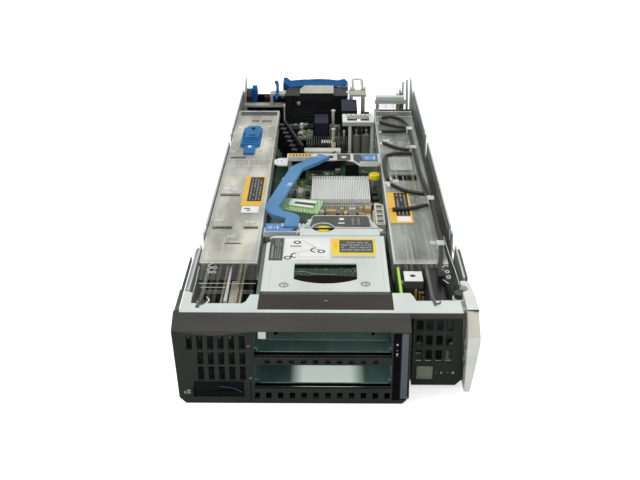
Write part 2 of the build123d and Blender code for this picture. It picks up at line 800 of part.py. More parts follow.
def quarter_turn(place, top):
    """Yellow knob with a screwdriver slot on a short stem."""
    x, y = place
    head = rod(x, y, (top - knob_height, top), knob_radius)
    head = chamfer(head.edges().group_by(Axis.Z)[-1], 0.6)
    slot = block((x - knob_radius - 1, x + knob_radius + 1), (y - 0.7, y + 0.7), (top - 1.2, top + 1))
    return head - slot + rod(x, y, (top - knob_height - 8, top - knob_height), knob_stem)


def quarter_turn_post(place, top):
    """Grey post that a quarter turn screws down on."""
    x, y = place
    seat = top - knob_height - slide_gap
    post = rod(x, y, (board_top, seat - 6), knob_radius - 0.6) + rod(x, y, (seat - 6, seat), knob_radius)
    return post - rod(x, y, (seat - 9, seat + 1), knob_stem + pin_gap)


front_knob_top = bracket_height + 2.0
rear_knob_top = bracket_height - 4.0


def mezzanine_board():
    """Daughter board between the two brackets, cut back at the posts."""
    outline = [(-41.5, 158), (38, 158), (38, 248), (30, 262.5), (-41.5, 262.5), (-43, 240), (-43, 170)]
    slab = plan(outline, (mezzanine_height, mezzanine_top))
    return slab - rod(rear_knob[0], rear_knob[1], (0, crown), knob_radius + 2)


def mezzanine_connector():
    """Stacking connector and the two spacers under the daughter board."""
    body = block((-34, 24), (168, 178), (board_top, mezzanine_height))
    body -= block((-31, 21), (171.5, 174.5), (board_top + 12, mezzanine_height - 2))
    spacers = [rod(x, 255, (board_top, mezzanine_height), 2.6) for x in (-36, 22)]
    return [body] + spacers


def fin_row(x, y, z, count, thickness):
    """Upright fins along Y, spread evenly between two X limits."""
    pitch = (x[1] - x[0] - thickness) / (count - 1)
    return [block((x[0] + pitch * i, x[0] + pitch * i + thickness), y, z) for i in range(count)]


def mezzanine_heat_sink():
    x = (sink_left, sink_right)
    y = (sink_front, sink_rear)
    base = mezzanine_top + 1.4
    sink = block(x, y, (base, base + 2.6))
    for fin in fin_row(x, y, (base + 2, sink_height), fin_count, fin_width):
        sink += fin
    foot = block((x[0] + 12, x[1] - 12), (y[0] + 12, y[1] - 12), (mezzanine_top, base + 1))
    return sink + foot


def option_card():
    """Small card on a block connector, turned a little in plan, with a metal shield."""
    level = option_level
    card = plan([(-36.0, 187.5), (-7.2, 179.0), (-3.0, 203.8), (-32.2, 209.8)], (level, level + 1.2))
    shield = plan([(-30.0, 192.5), (-10.5, 186.6), (-7.8, 199.5), (-27.4, 204.2)], (level + 1.2, level + 2.2))
    foot = plan([(-33.0, 189.0), (-26.0, 187.0), (-23.5, 205.0), (-30.2, 206.6)], (mezzanine_top, level))
    spacer = rod(-7.5, 197, (mezzanine_top, level), 1.8)
    return card + shield + foot + spacer


def battery_module():
    """Upright grey module with its clip at the left of the daughter board."""
    body = block((-38, -31.5), (226, 262), (mezzanine_top, mezzanine_top + 10))
    body = fillet(body.edges().filter_by(Axis.Y).group_by(Axis.Z)[-1], 2)
    return body + block((-39, -30.5), (240, 243), (mezzanine_top, mezzanine_top + 11))


def side_connector():
    """Pale stacked connector at the right of the daughter board."""
    right = right_baffle_inner - 0.4
    tower = block((34.5, right), (158.6, 200.0), (board_top, 40))
    ridge = plan([(35.3, 160), (right - 0.4, 160), (right - 0.4, 197), (38.5, 200), (35.3, 200)], (40, 46))
    cut = [block((36.6, right - 1.8), (y, y + 5), (43, 47)) for y in (164, 173, 182, 191)]
    slot = block((34, 38.3), (157, 201), (mezzanine_height - 0.3, mezzanine_top + 0.3))
    return tower + ridge - cut - slot


# Behind the rear bracket

def rear_heat_sink():
    """Low dark heat sink on the main board."""
    x = (-19.8, 18.2)
    y = (378.5, 402.5)
    sink = block(x, y, (board_top, board_top + 5))
    for fin in fin_row(x, y, (board_top + 4, 30), 18, 1.0):
        sink += fin
    return sink


def header_strip():
    body = block((-22, 12.2), (366, 376), (board_top, board_top + 16))
    pins = [block((-20.4 + 3.7 * i, -18.6 + 3.7 * i), (369, 373), (board_top + 12, board_top + 17))
            for i in range(9)]
    return body - pins


def cube_connector():
    body = block((-12.8, 0.4), (406, 434), (board_top, cube_height))
    body = chamfer(body.edges().filter_by(Axis.Z), 0.8)
    return body - block((-9.8, -2.6), (409, 431), (cube_height - 8, crown))


def slanted_card():
    """Option card that leans across its socket, with a row of chips."""
    a, b = (-42.4, 413.0), (-23.2, 341.0)
    normal = (1.93, 0.51)
    card = plan([a, b, (b[0] + normal[0], b[1] + normal[1]), (a[0] + normal[0], a[1] + normal[1])],
                (board_top + 6, 42))
    socket = plan([(a[0] - 1, a[1] - 4), (b[0] - 1.4, b[1] + 4), (b[0] + 3.2, b[1] + 5.2),
                   (a[0] + 3.6, a[1] - 2.8)], (board_top, board_top + 8))
    return card + socket


def frame_beam():
    """Light frame over the tall capacitors right of centre."""
    top = bracket_height
    right = right_baffle_inner - 0.6
    bar = block((13.5, right), (378, 402), (top - 4, top))
    bar -= block((18, right - 4), (382, 398), (top - 5, top + 1))
    for x in ((19, 21.8), (right - 3, right)):
        bar += block(x, (379, 381), (board_top, top - 2))
    return bar


def capacitors():
    cans = []
    for x, y in ((26.8, 386), (34.8, 386), (26.8, 396), (34.8, 396)):
        can = rod(x, y, (board_top, 38), 3.8)
        cans.append(chamfer(can.edges().group_by(Axis.Z)[-1], 0.7))
    return cans


def rear_y(distance):
    return rear - distance


def midplane_connector():
    """Tall black housing that faces the enclosure's midplane, with its rows of contact slots."""
    y = (rear_y(connector_reach), rear_y(14))
    body = block((-42.5, 18.5), y, (board_top, deck - 2.8))
    body -= block((-36, 12), (y[0] - 1, y[0] + 2), (36, deck - 5))
    body -= block((-43, 19), (rear_y(cap_reach - 7) - seat_gap, rear), (deck - 5, deck))
    slots = []
    for row in range(4):
        for column in range(8):
            x = -38.5 + 7 * column
            z = 13 + 9.2 * row
            slots.append(block((x, x + 4), (y[1] - 6, y[1] + 1), (z, z + 5.6)))
    return body - slots


def connector_plate():
    """Light plate across the housing's top."""
    y0 = rear_y(connector_reach)
    plate = plan([(-28, y0 - 1.2), (5.6, y0 - 1.2), (5.6, y0 + 27), (-23.6, y0 + 27), (-28, y0 + 14)],
                 (deck - 2.8, deck))
    lip = block((-28, 5.6), (y0 - 1.2, y0 - 0.2), (46, deck - 1))
    return plate + lip


def connector_cap():
    """Blue cap over the rear of the housing, with raised ends and a dip in the middle."""
    y = (rear_y(cap_reach - 7), rear_y(1.0))
    profile = [(-46, 38), (-46, deck + 0.6), (-43, deck + 0.6), (-39, deck - 2.6), (-28, deck - 1.6),
               (-8, deck - 0.4), (10, deck - 2.2), (17, deck - 0.6), (20.5, deck - 3.5), (20.5, 38)]
    cap = section(profile, y)
    hollow = block((-43.2, 19.2), (0, rear_y(4.0)), (0, deck - 4.7))
    return cap - hollow


def rear_crossbeam():
    """Grey beam behind the baffles, with the lug that holds the wire bail."""
    y0 = rear_y(50)
    top = deck - 2.8
    beam = block((inner_left + 0.3, -42.8), (y0, y0 + 10), (38, 40))
    beam += block((-58, -55), (y0, y0 + 10), (38, top))
    beam += block((-58, -42.8), (y0, y0 + 10), (top - 2, top))
    arm = block((21.2, 38.2), (rear_y(52), rear_y(33)), (top - 2, top))
    arm += block((21.2, 25), (rear_y(52), rear_y(49)), (board_top, top - 1))
    arm += block((33, 37), (rear_y(52), rear_y(49)), (board_top, top - 1))
    for x in bail_ear_places:
        arm += block((x, x + 1.4), (bail_y - 2.4, bail_y + 2.2), (top - 2, bail_level + 2))
        arm -= cross_rod((x - 1, x + 2.4), bail_y, bail_level, bail_wire + pin_gap)
    foot = block((inner_left + 0.3, inner_left + 3), (y0, y0 + 10), (board_top, 40))
    return [beam + foot, arm]


bail_y = rear - bail_reach
bail_level = deck - 1.4
bail_left = 25.2
bail_right = 35.2
bail_ear_places = (bail_left - 2.8, bail_right + 1.4)


def rear_bail():
    """Wire loop hinged in the two ears of the beam."""
    tip = rear_y(bail_wire + 0.6)
    rise = bail_level + 0.5
    points = [(bail_left - 2.6, bail_y, bail_level), (bail_left, bail_y, bail_level),
              (bail_left, tip, rise), (bail_right, tip, rise), (bail_right, bail_y, bail_level),
              (bail_right + 2.6, bail_y, bail_level)]
    path = FilletPolyline(*[Vector(*spot(*point)) for point in points], radius=[1.4, 3.5, 3.5, 1.4])
    return sweep(Plane(path @ 0, z_dir=path % 0) * Circle(bail_wire), path=path)


def second_connector():
    body = block((13.2, 28.2), (rear_y(99), rear_y(62)), (board_top, 50))
    body = chamfer(body.edges().filter_by(Axis.Z), 0.8)
    return body - block((16, 25.4), (rear_y(95), rear_y(66)), (44, 51))


def rear_latch():
    """Black hook with a blue face behind the left baffle, and its round post."""
    x = (-83, -72)
    profile = [(rear_y(40), board_top), (rear_y(40), 46), (rear_y(34), 50), (rear_y(24), 50),
               (rear_y(20), 44), (rear_y(26), 40), (rear_y(26), board_top)]
    post = rod(-61, rear_y(34), (board_top, 45), 4.0)
    post -= rod(-61, rear_y(34), (40, 46), 2.2)
    return [side(profile, x), post]


def rear_sockets():
    """Connector row, bar and upright guide fins at the right rear."""
    y0 = rear_y(46)
    row = block((48, inner_right - 0.3), (y0, y0 + 22), (board_top, 28))
    slots = [block((x, x + 1.6), (y0 + 3, y0 + 19), (24, 29)) for x in (51, 55, 59, 63, 67, 71, 75)]
    bar = block((48, 76), (y0 - 8, y0 - 1), (46, 50)) + block((48, 51), (y0 - 8, y0 - 1), (board_top, 50))
    fins = []
    for x, peak in ((76.6, rear_y(14)), (81.2, rear_y(6))):
        outline = [(y0 + 24, board_top), (y0 + 24, 34), (peak - 3, deck), (peak, deck), (peak, board_top)]
        fins.append(side(outline, (x, x + 1.5)))
    return [row - slots, bar] + fins


# Right front corner

def power_pack():
    """Dark backup pack with rounded top edges and its cable boot."""
    body = block((62.0, 74.6), (38.5, baffle_front - 0.5), (board_top, baffle_height - 2.4))
    body = fillet(body.edges().filter_by(Axis.Y).group_by(Axis.Z)[-1], 4.0)
    boot = block((70.0, 74.6), (60, 68), (44, cable_level + 2.2))
    return body + boot


def riser_card():
    card = block((45.2, 46.8), (46, 83), (board_top, 50))
    socket = block((43.2, 48.6), (50, 79), (board_top, board_top + 9))
    return card + socket


def riser_socket():
    """White topped socket beside the riser, with a round hole."""
    lower = block((49.6, 60.2), (62, 74), (board_top, 46))
    cap = block((49.0, 60.8), (61, 75), (46, baffle_height - 0.5))
    return lower + cap - rod(54.6, 68.5, (48, 60), 1.6)


# Cables on the right baffle, and the clips that hold them

trunk_route = [(72.3, 68.0, cable_level), (72.3, 77.0, cable_level), (75.4, 93.0, cable_level),
               (77.6, 116.0, cable_level), (77.2, 144.0, cable_level), (77.6, 170.0, cable_level),
               (77.2, 196.0, cable_level), (75.0, 222.0, cable_level), (73.2, 250.0, cable_level),
               (73.4, 285.0, cable_level), (73.0, 325.0, cable_level), (73.2, 362.0, cable_level),
               (67.4, 384.0, cable_level), (58.0, 391.5, cable_level), (50.6, 387.0, cable_level)]
branch_routes = [
    [(47.8, 374.0, cable_level), (56.5, 366.0, cable_level), (64.0, 361.0, cable_level),
     (70.6, 359.6, cable_level)],
    [(48.0, 349.0, cable_level), (57.0, 348.4, cable_level), (64.0, 349.4, cable_level),
     (69.4, 351.0, cable_level)],
    [(48.0, 317.0, cable_level), (55.5, 307.5, cable_level), (62.5, 301.4, cable_level),
     (69.2, 299.8, cable_level)],
    [(47.4, 230.0, cable_level), (46.2, 247.0, cable_level), (45.9, 268.0, cable_level),
     (48.2, 286.0, cable_level), (58.0, 291.5, cable_level), (70.6, 290.6, cable_level)],
    [(49.6, 220.0, cable_level), (58.0, 208.5, cable_level), (68.0, 203.0, cable_level),
     (73.4, 201.6, cable_level)],
    [(47.5, 171.5, cable_level), (58.0, 172.2, cable_level), (67.0, 176.2, cable_level),
     (73.6, 180.6, cable_level)],
]
clip_places = [(77.4, 189.5), (76.9, 110.0), (73.3, 352.0), (73.2, 302.4)]


def cable_trunk():
    return tube(trunk_route, cable_radius)


def cable_branches():
    return [tube(route, cable_radius) for route in branch_routes]


def cable_clips():
    """Bridges over the trunk, and the end blocks that the branches come up through."""
    clips = []
    for x, y in clip_places:
        clip = block((x - 3.2, x + 2.0), (y - 3.5, y + 3.5), (baffle_height, crown - 0.1))
        clips.append(clip - block((x - 2.0, x + 3.0), (y - 4, y + 4), (0, cable_level + 1.6)))
    return clips


save("chassis_tray", chassis_tray())
save("side_plate_left", side_plate((tray_left - side_plate_sheet, tray_left), bezel_depth))
save("side_plate_right", side_plate((tray_right, tray_right + side_plate_sheet), right_wall_start))
save("front_flange", front_flange())
save("bezel", bezel())
save("led_column", led_column())
save("release_button", release_button())
save("serial_pull_tab", serial_pull_tab())
save("handle_cover", handle_cover())
save("handle_cam", handle_cam())
save("handle_pin", handle_pin())
save("power_button", power_button())
save("drive_cage", drive_cage())
save("cage_top", cage_top())
save("cage_front_cover", cage_front_cover())
save("cage_board", cage_board())
save("drive_backplane", drive_backplane())
save("drive_connectors", *drive_connectors())
save("system_board", system_board())
save("standoffs", *standoffs())
save("screws", *screws())
save("memory_sockets_left", *memory_banks(left_columns, (left_front_bank, rear_bank)))
save("memory_sockets_right", *memory_banks(right_columns, (right_front_bank, rear_bank)))
save("memory_latches", *memory_latches())
save("baffle_left", baffle_left())
save("baffle_right", baffle_right())
save("baffle_latch", baffle_latch())
save("front_bracket", front_bracket())
save("rear_bracket", rear_bracket())
save("lift_handle", lift_handle())
save("lift_pin", lift_pin())
save("quarter_turn_front", quarter_turn(front_knob, front_knob_top))
save("quarter_turn_rear", quarter_turn(rear_knob, rear_knob_top))
save("quarter_turn_posts", quarter_turn_post(front_knob, front_knob_top),
     quarter_turn_post(rear_knob, rear_knob_top))
save("mezzanine_board", mezzanine_board())
save("mezzanine_connector", *mezzanine_connector())
save("mezzanine_heat_sink", mezzanine_heat_sink())
save("option_card", option_card())
save("battery_module", battery_module())
save("side_connector", side_connector())
save("rear_heat_sink", rear_heat_sink())
save("header_strip", header_strip())
save("cube_connector", cube_connector())
save("slanted_card", slanted_card())
save("frame_beam", frame_beam())
save("capacitors", *capacitors())
save("midplane_connector", midplane_connector())
save("connector_plate", connector_plate())
save("connector_cap", connector_cap())
save("rear_crossbeam", *rear_crossbeam())
save("rear_bail", rear_bail())
save("second_connector", second_connector())
save("rear_latch", *rear_latch())
save("rear_sockets", *rear_sockets())
save("power_pack", power_pack())
save("riser_card", riser_card())
save("riser_socket", riser_socket())
save("cable_trunk", cable_trunk())
save("cable_branches", *cable_branches())
save("cable_clips", *cable_clips())
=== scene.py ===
"""Looks of a half-height blade server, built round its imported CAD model.

Places are in millimetres: x from the middle of the blade, y from the front plane of the bezel,
z up from the underside of the tray. Blender gets metres, in the frame of the CAD model.
"""
import math
import random

import bmesh
import bpy
from mathutils import Matrix, Vector


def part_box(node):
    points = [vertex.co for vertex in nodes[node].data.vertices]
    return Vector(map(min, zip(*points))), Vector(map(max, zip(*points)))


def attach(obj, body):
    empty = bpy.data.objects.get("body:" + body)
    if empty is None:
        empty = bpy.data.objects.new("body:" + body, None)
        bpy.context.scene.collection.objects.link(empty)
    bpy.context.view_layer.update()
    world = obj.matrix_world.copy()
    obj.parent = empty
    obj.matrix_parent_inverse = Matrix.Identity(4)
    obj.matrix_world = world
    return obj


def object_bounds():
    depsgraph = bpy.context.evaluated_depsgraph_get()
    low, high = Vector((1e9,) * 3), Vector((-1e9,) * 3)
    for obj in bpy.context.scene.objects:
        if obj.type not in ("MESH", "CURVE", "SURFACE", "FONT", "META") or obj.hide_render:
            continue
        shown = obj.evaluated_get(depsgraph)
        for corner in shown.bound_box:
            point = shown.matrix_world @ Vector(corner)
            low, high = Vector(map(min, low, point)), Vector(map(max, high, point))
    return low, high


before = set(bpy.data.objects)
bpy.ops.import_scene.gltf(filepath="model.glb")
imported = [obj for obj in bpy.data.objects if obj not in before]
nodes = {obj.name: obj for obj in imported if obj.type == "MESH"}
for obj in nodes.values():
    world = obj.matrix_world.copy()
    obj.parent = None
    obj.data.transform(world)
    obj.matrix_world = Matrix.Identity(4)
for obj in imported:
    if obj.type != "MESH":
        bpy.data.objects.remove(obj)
cad_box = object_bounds()

MM = 0.001
FRONT = cad_box[0][1]
STICKER = 0.12
PRINT = 0.05
BAY_FLOORS = (10.4, 32)
VENT_PITCH = 6.15
SOCKET_PITCH = 9.3
LEFT_SOCKET = -79.8
RIGHT_SOCKET = 78
GUIDE_TOP = 51.5
KNOB_X = -2.8
KNOB_Y = 135.6


def place(x, y, z):
    """A point in metres from millimetres measured from the front plane."""
    return Vector((x * MM, FRONT + y * MM, z * MM))


def span(node):
    """The limits of a CAD node in x, y and z, in millimetres from the front plane."""
    low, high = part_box(node)
    return ((low.x / MM, high.x / MM), ((low.y - FRONT) / MM, (high.y - FRONT) / MM),
            (low.z / MM, high.z / MM))


def top_of(node):
    return span(node)[2][1]


def label_levels(top):
    """Levels of a sticker on a surface, of the print on it and of a second print on that."""
    base = (top, top + STICKER)
    ink = (base[1], base[1] + PRINT)
    return base, ink, (ink[1], ink[1] + PRINT)


# Camera and light

CAMERA_PLACE = (0.0001, -0.7582, 0.3404)
CAMERA_PITCH = math.radians(24.95)
CAMERA_YAW = math.radians(0.48)
CAMERA_LENS = 56.06
SENSOR = 36


def make_camera():
    data = bpy.data.cameras.new("camera")
    data.lens = CAMERA_LENS
    data.sensor_width = SENSOR
    data.sensor_fit = "HORIZONTAL"
    camera = bpy.data.objects.new("camera", data)
    camera.location = CAMERA_PLACE
    camera.rotation_euler = (math.pi / 2 - CAMERA_PITCH, 0, CAMERA_YAW)
    bpy.context.collection.objects.link(camera)
    bpy.context.scene.camera = camera


def soft_box(name, location, target, size, power):
    data = bpy.data.lights.new(name, "AREA")
    data.shape = "RECTANGLE"
    data.size, data.size_y = size
    data.energy = power
    lamp = bpy.data.objects.new(name, data)
    lamp.location = location
    lamp.rotation_euler = (Vector(target) - Vector(location)).to_track_quat("-Z", "Y").to_euler()
    bpy.context.collection.objects.link(lamp)


def feed(tree, value, socket):
    """Links an output to a socket, or sets a plain value there."""
    if isinstance(value, bpy.types.NodeSocket):
        tree.links.new(value, socket)
    else:
        socket.default_value = value


def add(tree, kind, **inputs):
    """A new node, its sockets fed by name, with underscores for spaces."""
    made = tree.nodes.new(kind)
    for name, value in inputs.items():
        feed(tree, value, made.inputs[name.replace("_", " ")])
    return made


def calculate(tree, operation, first, second):
    made = tree.nodes.new("ShaderNodeMath")
    made.operation = operation
    feed(tree, first, made.inputs[0])
    feed(tree, second, made.inputs[1])
    return made.outputs[0]


def seen_directly(tree):
    """1 for rays seen straight or through a clear part, and a third of that in reflections."""
    path = tree.nodes.new("ShaderNodeLightPath").outputs
    mirrored = calculate(tree, "MULTIPLY", path["Is Glossy Ray"], 0.34)
    first = calculate(tree, "MAXIMUM", path["Is Camera Ray"], mirrored)
    return calculate(tree, "MAXIMUM", first, path["Is Transmission Ray"])


def make_light():
    world = bpy.data.worlds.new("studio")
    bpy.context.scene.world = world
    world.use_nodes = True
    tree = world.node_tree
    background = tree.nodes["Background"]
    background.inputs["Color"].default_value = (1, 1, 1, 1)
    strength = add(tree, "ShaderNodeMapRange", Value=seen_directly(tree), To_Min=0.38, To_Max=1)
    tree.links.new(strength.outputs["Result"], background.inputs["Strength"])
    soft_box("key", (-0.7, -0.35, 1.1), (0, 0, 0), (1, 0.8), 5.8)
    soft_box("fill", (0.9, -0.1, 0.8), (0, 0.05, 0), (0.8, 0.8), 3.6)
    soft_box("front", (0.1, -1.4, 0.5), (0, -0.2, 0.02), (1.2, 0.5), 3.2)
    soft_box("top", (0, 0.35, 1.2), (0, 0.05, 0), (0.9, 0.9), 4)


def make_floor():
    bm = bmesh.new()
    bmesh.ops.create_grid(bm, x_segments=2, y_segments=2, size=6)
    mesh = bpy.data.meshes.new("floor")
    bm.to_mesh(mesh)
    bm.free()
    floor = bpy.data.objects.new("floor", mesh)
    bpy.context.collection.objects.link(floor)
    paper = bpy.data.materials.new("paper")
    paper.use_nodes = True
    tree = paper.node_tree
    shader = tree.nodes["Principled BSDF"]
    shader.inputs["Base Color"].default_value = (0.9, 0.9, 0.9, 1)
    shader.inputs["Roughness"].default_value = 0.7
    shader.inputs["Emission Color"].default_value = (1, 1, 1, 1)
    glow = add(tree, "ShaderNodeMapRange", Value=seen_directly(tree), To_Max=0.62)
    tree.links.new(glow.outputs["Result"], shader.inputs["Emission Strength"])
    mesh.materials.append(paper)


# Materials

M = {}


def srgb(red, green, blue):
    """A display colour of 0 to 255 as the linear values that Blender works in."""
    values = []
    for channel in (red, green, blue):
        c = channel / 255
        values.append(c / 12.92 if c <= 0.04045 else ((c + 0.055) / 1.055) ** 2.4)
    return (*values, 1)


class Finish:
    """A Principled material with its object coordinates, ready for texture nodes."""

    def __init__(self, name):
        M[name] = bpy.data.materials.new(name)
        M[name].use_nodes = True
        self.tree = M[name].node_tree
        self.shader = self.tree.nodes["Principled BSDF"]
        self.coords = self.tree.nodes.new("ShaderNodeTexCoord").outputs["Object"]

    def node(self, kind, **inputs):
        return add(self.tree, kind, **inputs)

    def set(self, **inputs):
        """Feeds the sockets of the shader."""
        for name, value in inputs.items():
            feed(self.tree, value, self.shader.inputs[name.replace("_", " ")])

    def stretched(self, stretch, turn=(0, 0, 0)):
        mapping = self.node("ShaderNodeMapping", Vector=self.coords, Scale=stretch, Rotation=turn)
        return mapping.outputs["Vector"]

    def noise(self, scale, detail=4, stretch=(1, 1, 1)):
        vector = self.stretched(stretch)
        return self.node("ShaderNodeTexNoise", Vector=vector, Scale=scale, Detail=detail).outputs["Fac"]

    def ramp(self, source, start, dark, end, light):
        """A colour that goes from dark to light as a value goes from start to end."""
        made = self.node("ShaderNodeValToRGB", Fac=source)
        for element, position, colour in zip(made.color_ramp.elements, (start, end), (dark, light)):
            element.position = position
            element.color = colour
        return made.outputs["Color"]

    def between(self, source, low, high, start=0.3, end=0.7):
        """A value spread between two limits."""
        return self.node("ShaderNodeMapRange", Value=source, From_Min=start, From_Max=end, To_Min=low,
                         To_Max=high).outputs["Result"]

    def mix(self, factor, first, second):
        made = self.tree.nodes.new("ShaderNodeMix")
        made.data_type = "RGBA"
        for value, socket in ((factor, "Factor"), (first, 6), (second, 7)):
            feed(self.tree, value, made.inputs[socket])
        return made.outputs[2]

    def bump(self, height, strength, distance=0.0002, edge=0):
        made = self.node("ShaderNodeBump", Height=height, Strength=strength, Distance=distance)
        if edge:
            rounding = self.node("ShaderNodeBevel", Radius=edge * MM)
            rounding.samples = 4
            feed(self.tree, rounding.outputs["Normal"], made.inputs["Normal"])
        self.set(Normal=made.outputs["Normal"])


def surface(name, light, dark, rough=(0.4, 0.5), metallic=0, grain=120, stretch=(1, 1, 1),
            bump=0.08, pitch=1800, edge=0, gloss=0.5, glow=0):
    """A finish whose colour and roughness drift with noise, over a fine bump."""
    finish = Finish(name)
    light, dark = srgb(*light), srgb(*dark)
    drift = finish.noise(grain, 5, stretch)
    finish.set(Base_Color=finish.ramp(drift, 0.3, dark, 0.7, light), Metallic=metallic,
               Roughness=finish.between(finish.noise(grain * 0.4, 3, stretch), *rough),
               Specular_IOR_Level=gloss)
    finish.bump(finish.noise(pitch, 2, stretch), bump, edge=edge)
    if glow:
        finish.set(Emission_Color=light, Emission_Strength=glow)


def galvanised(name, light, dark, metallic=0.75):
    """Zinc-coated sheet with its faint spangle and drawn marks."""
    finish = Finish(name)
    light, dark = srgb(*light), srgb(*dark)
    cells = finish.node("ShaderNodeTexVoronoi", Vector=finish.coords, Scale=240)
    grey = finish.node("ShaderNodeRGBToBW", Color=cells.outputs["Color"])
    drift = finish.noise(30, 6, (1, 0.3, 1))
    spangle = finish.ramp(grey.outputs["Val"], 0.2, dark, 0.8, light)
    cloud = finish.ramp(drift, 0.35, dark, 0.65, light)
    finish.set(Base_Color=finish.mix(0.55, spangle, cloud), Metallic=metallic,
               Roughness=finish.between(drift, 0.34, 0.5))
    finish.bump(finish.noise(900, 3, (1, 0.15, 1)), 0.06, edge=0.3)


def bay_sheet(name, light, dark, gleam, left, right):
    """Sheet of the drive bays, in shade apart from the open middle of the lower floor, which gets a
    painted highlight and a faint glow.
    """
    finish = Finish(name)
    parts = finish.node("ShaderNodeSeparateXYZ", Vector=finish.coords).outputs
    cloud = finish.ramp(finish.noise(26, 4, (1, 0.4, 1)), 0.35, srgb(*dark), 0.65, srgb(*light))
    rise = finish.between(parts["X"], 0, 1, (left - 5) * MM, (left + 3) * MM)
    fall = finish.between(parts["X"], 1, 0, (right - 4) * MM, (right + 5) * MM)
    lit = finish.between(parts["Z"], 1, 0, 11 * MM, 12 * MM)
    for mask in (rise, fall):
        lit = calculate(finish.tree, "MULTIPLY", lit, mask)
    # painted highlight and glow: the pale colour and an emission fade in over the open middle of the
    # lower floor
    finish.set(Base_Color=finish.mix(lit, cloud, srgb(*gleam)), Emission_Strength=lit, Metallic=0.2,
               Emission_Color=(0.36, 0.4, 0.37, 1),
               Roughness=finish.between(finish.noise(60, 3), 0.38, 0.5))
    finish.bump(finish.noise(900, 3, (1, 0.15, 1)), 0.06)


def circuit_board(name, ground, trace, deep):
    """Solder mask over copper traces, with plated holes."""
    finish = Finish(name)
    masks = []
    for turn, size in ((0, 0.0031), (math.pi / 2, 0.0043)):
        bricks = finish.node("ShaderNodeTexBrick", Vector=finish.stretched((1, 1, 1), (0, 0, turn)),
                             Scale=1, Brick_Width=size * 5, Row_Height=size * 0.5,
                             Mortar_Size=size * 0.075, Mortar_Smooth=0.3)
        bricks.offset = 0.37
        masks.append(bricks.outputs["Fac"])
    patches = finish.noise(45, 1)
    chosen = finish.mix(finish.between(patches, 0, 1, 0.45, 0.55), (0, 0, 0, 1), masks[0])
    other = finish.mix(finish.between(patches, 1, 0, 0.4, 0.5), (0, 0, 0, 1), masks[1])
    both = calculate(finish.tree, "MAXIMUM", chosen, other)
    cloud = finish.ramp(finish.noise(22, 3), 0.35, srgb(*deep), 0.65, srgb(*ground))
    copper = finish.mix(both, cloud, srgb(*trace))
    holes = finish.node("ShaderNodeTexVoronoi", Vector=finish.coords, Scale=330)
    dots = finish.between(holes.outputs["Distance"], 1, 0, 0.13, 0.17)
    finish.set(Base_Color=finish.mix(dots, copper, srgb(176, 168, 120)), Specular_IOR_Level=0.35,
               Roughness=finish.between(finish.noise(90, 3), 0.28, 0.42))
    finish.bump(both, 0.25, 0.0001)


def clear_plastic(name, tint, alpha, rough=(0.1, 0.18)):
    """Thin clear moulding: faintly milky, with flow marks and a hard gloss."""
    finish = Finish(name)
    tint = srgb(*tint)
    light = tuple(min(1, c * 1.25) for c in tint[:3]) + (1,)
    flow = finish.noise(38, 5, (1, 0.35, 1))
    finish.set(Base_Color=finish.ramp(flow, 0.4, tint, 0.62, light), Specular_IOR_Level=0.8,
               Alpha=finish.between(flow, alpha * 0.7, alpha * 1.45, 0.38, 0.66),
               Roughness=finish.between(flow, *rough))
    finish.bump(finish.noise(60, 3), 0.35, 0.0006)


def banded_plastic(name, first, second, origin):
    """Socket bodies in two colours that take turns across the bank."""
    finish = Finish(name)
    pitch = SOCKET_PITCH * MM
    parts = finish.node("ShaderNodeSeparateXYZ", Vector=finish.coords)
    shift = calculate(finish.tree, "SUBTRACT", parts.outputs["X"], origin * MM)
    turn = calculate(finish.tree, "PINGPONG", shift, pitch)
    near = finish.between(turn, 0, 1, pitch * 0.45, pitch * 0.55)
    finish.set(Base_Color=finish.mix(near, srgb(*first), srgb(*second)),
               Roughness=finish.between(finish.noise(120, 3), 0.4, 0.52))
    finish.bump(finish.noise(700, 2, (1, 0.1, 1)), 0.2)


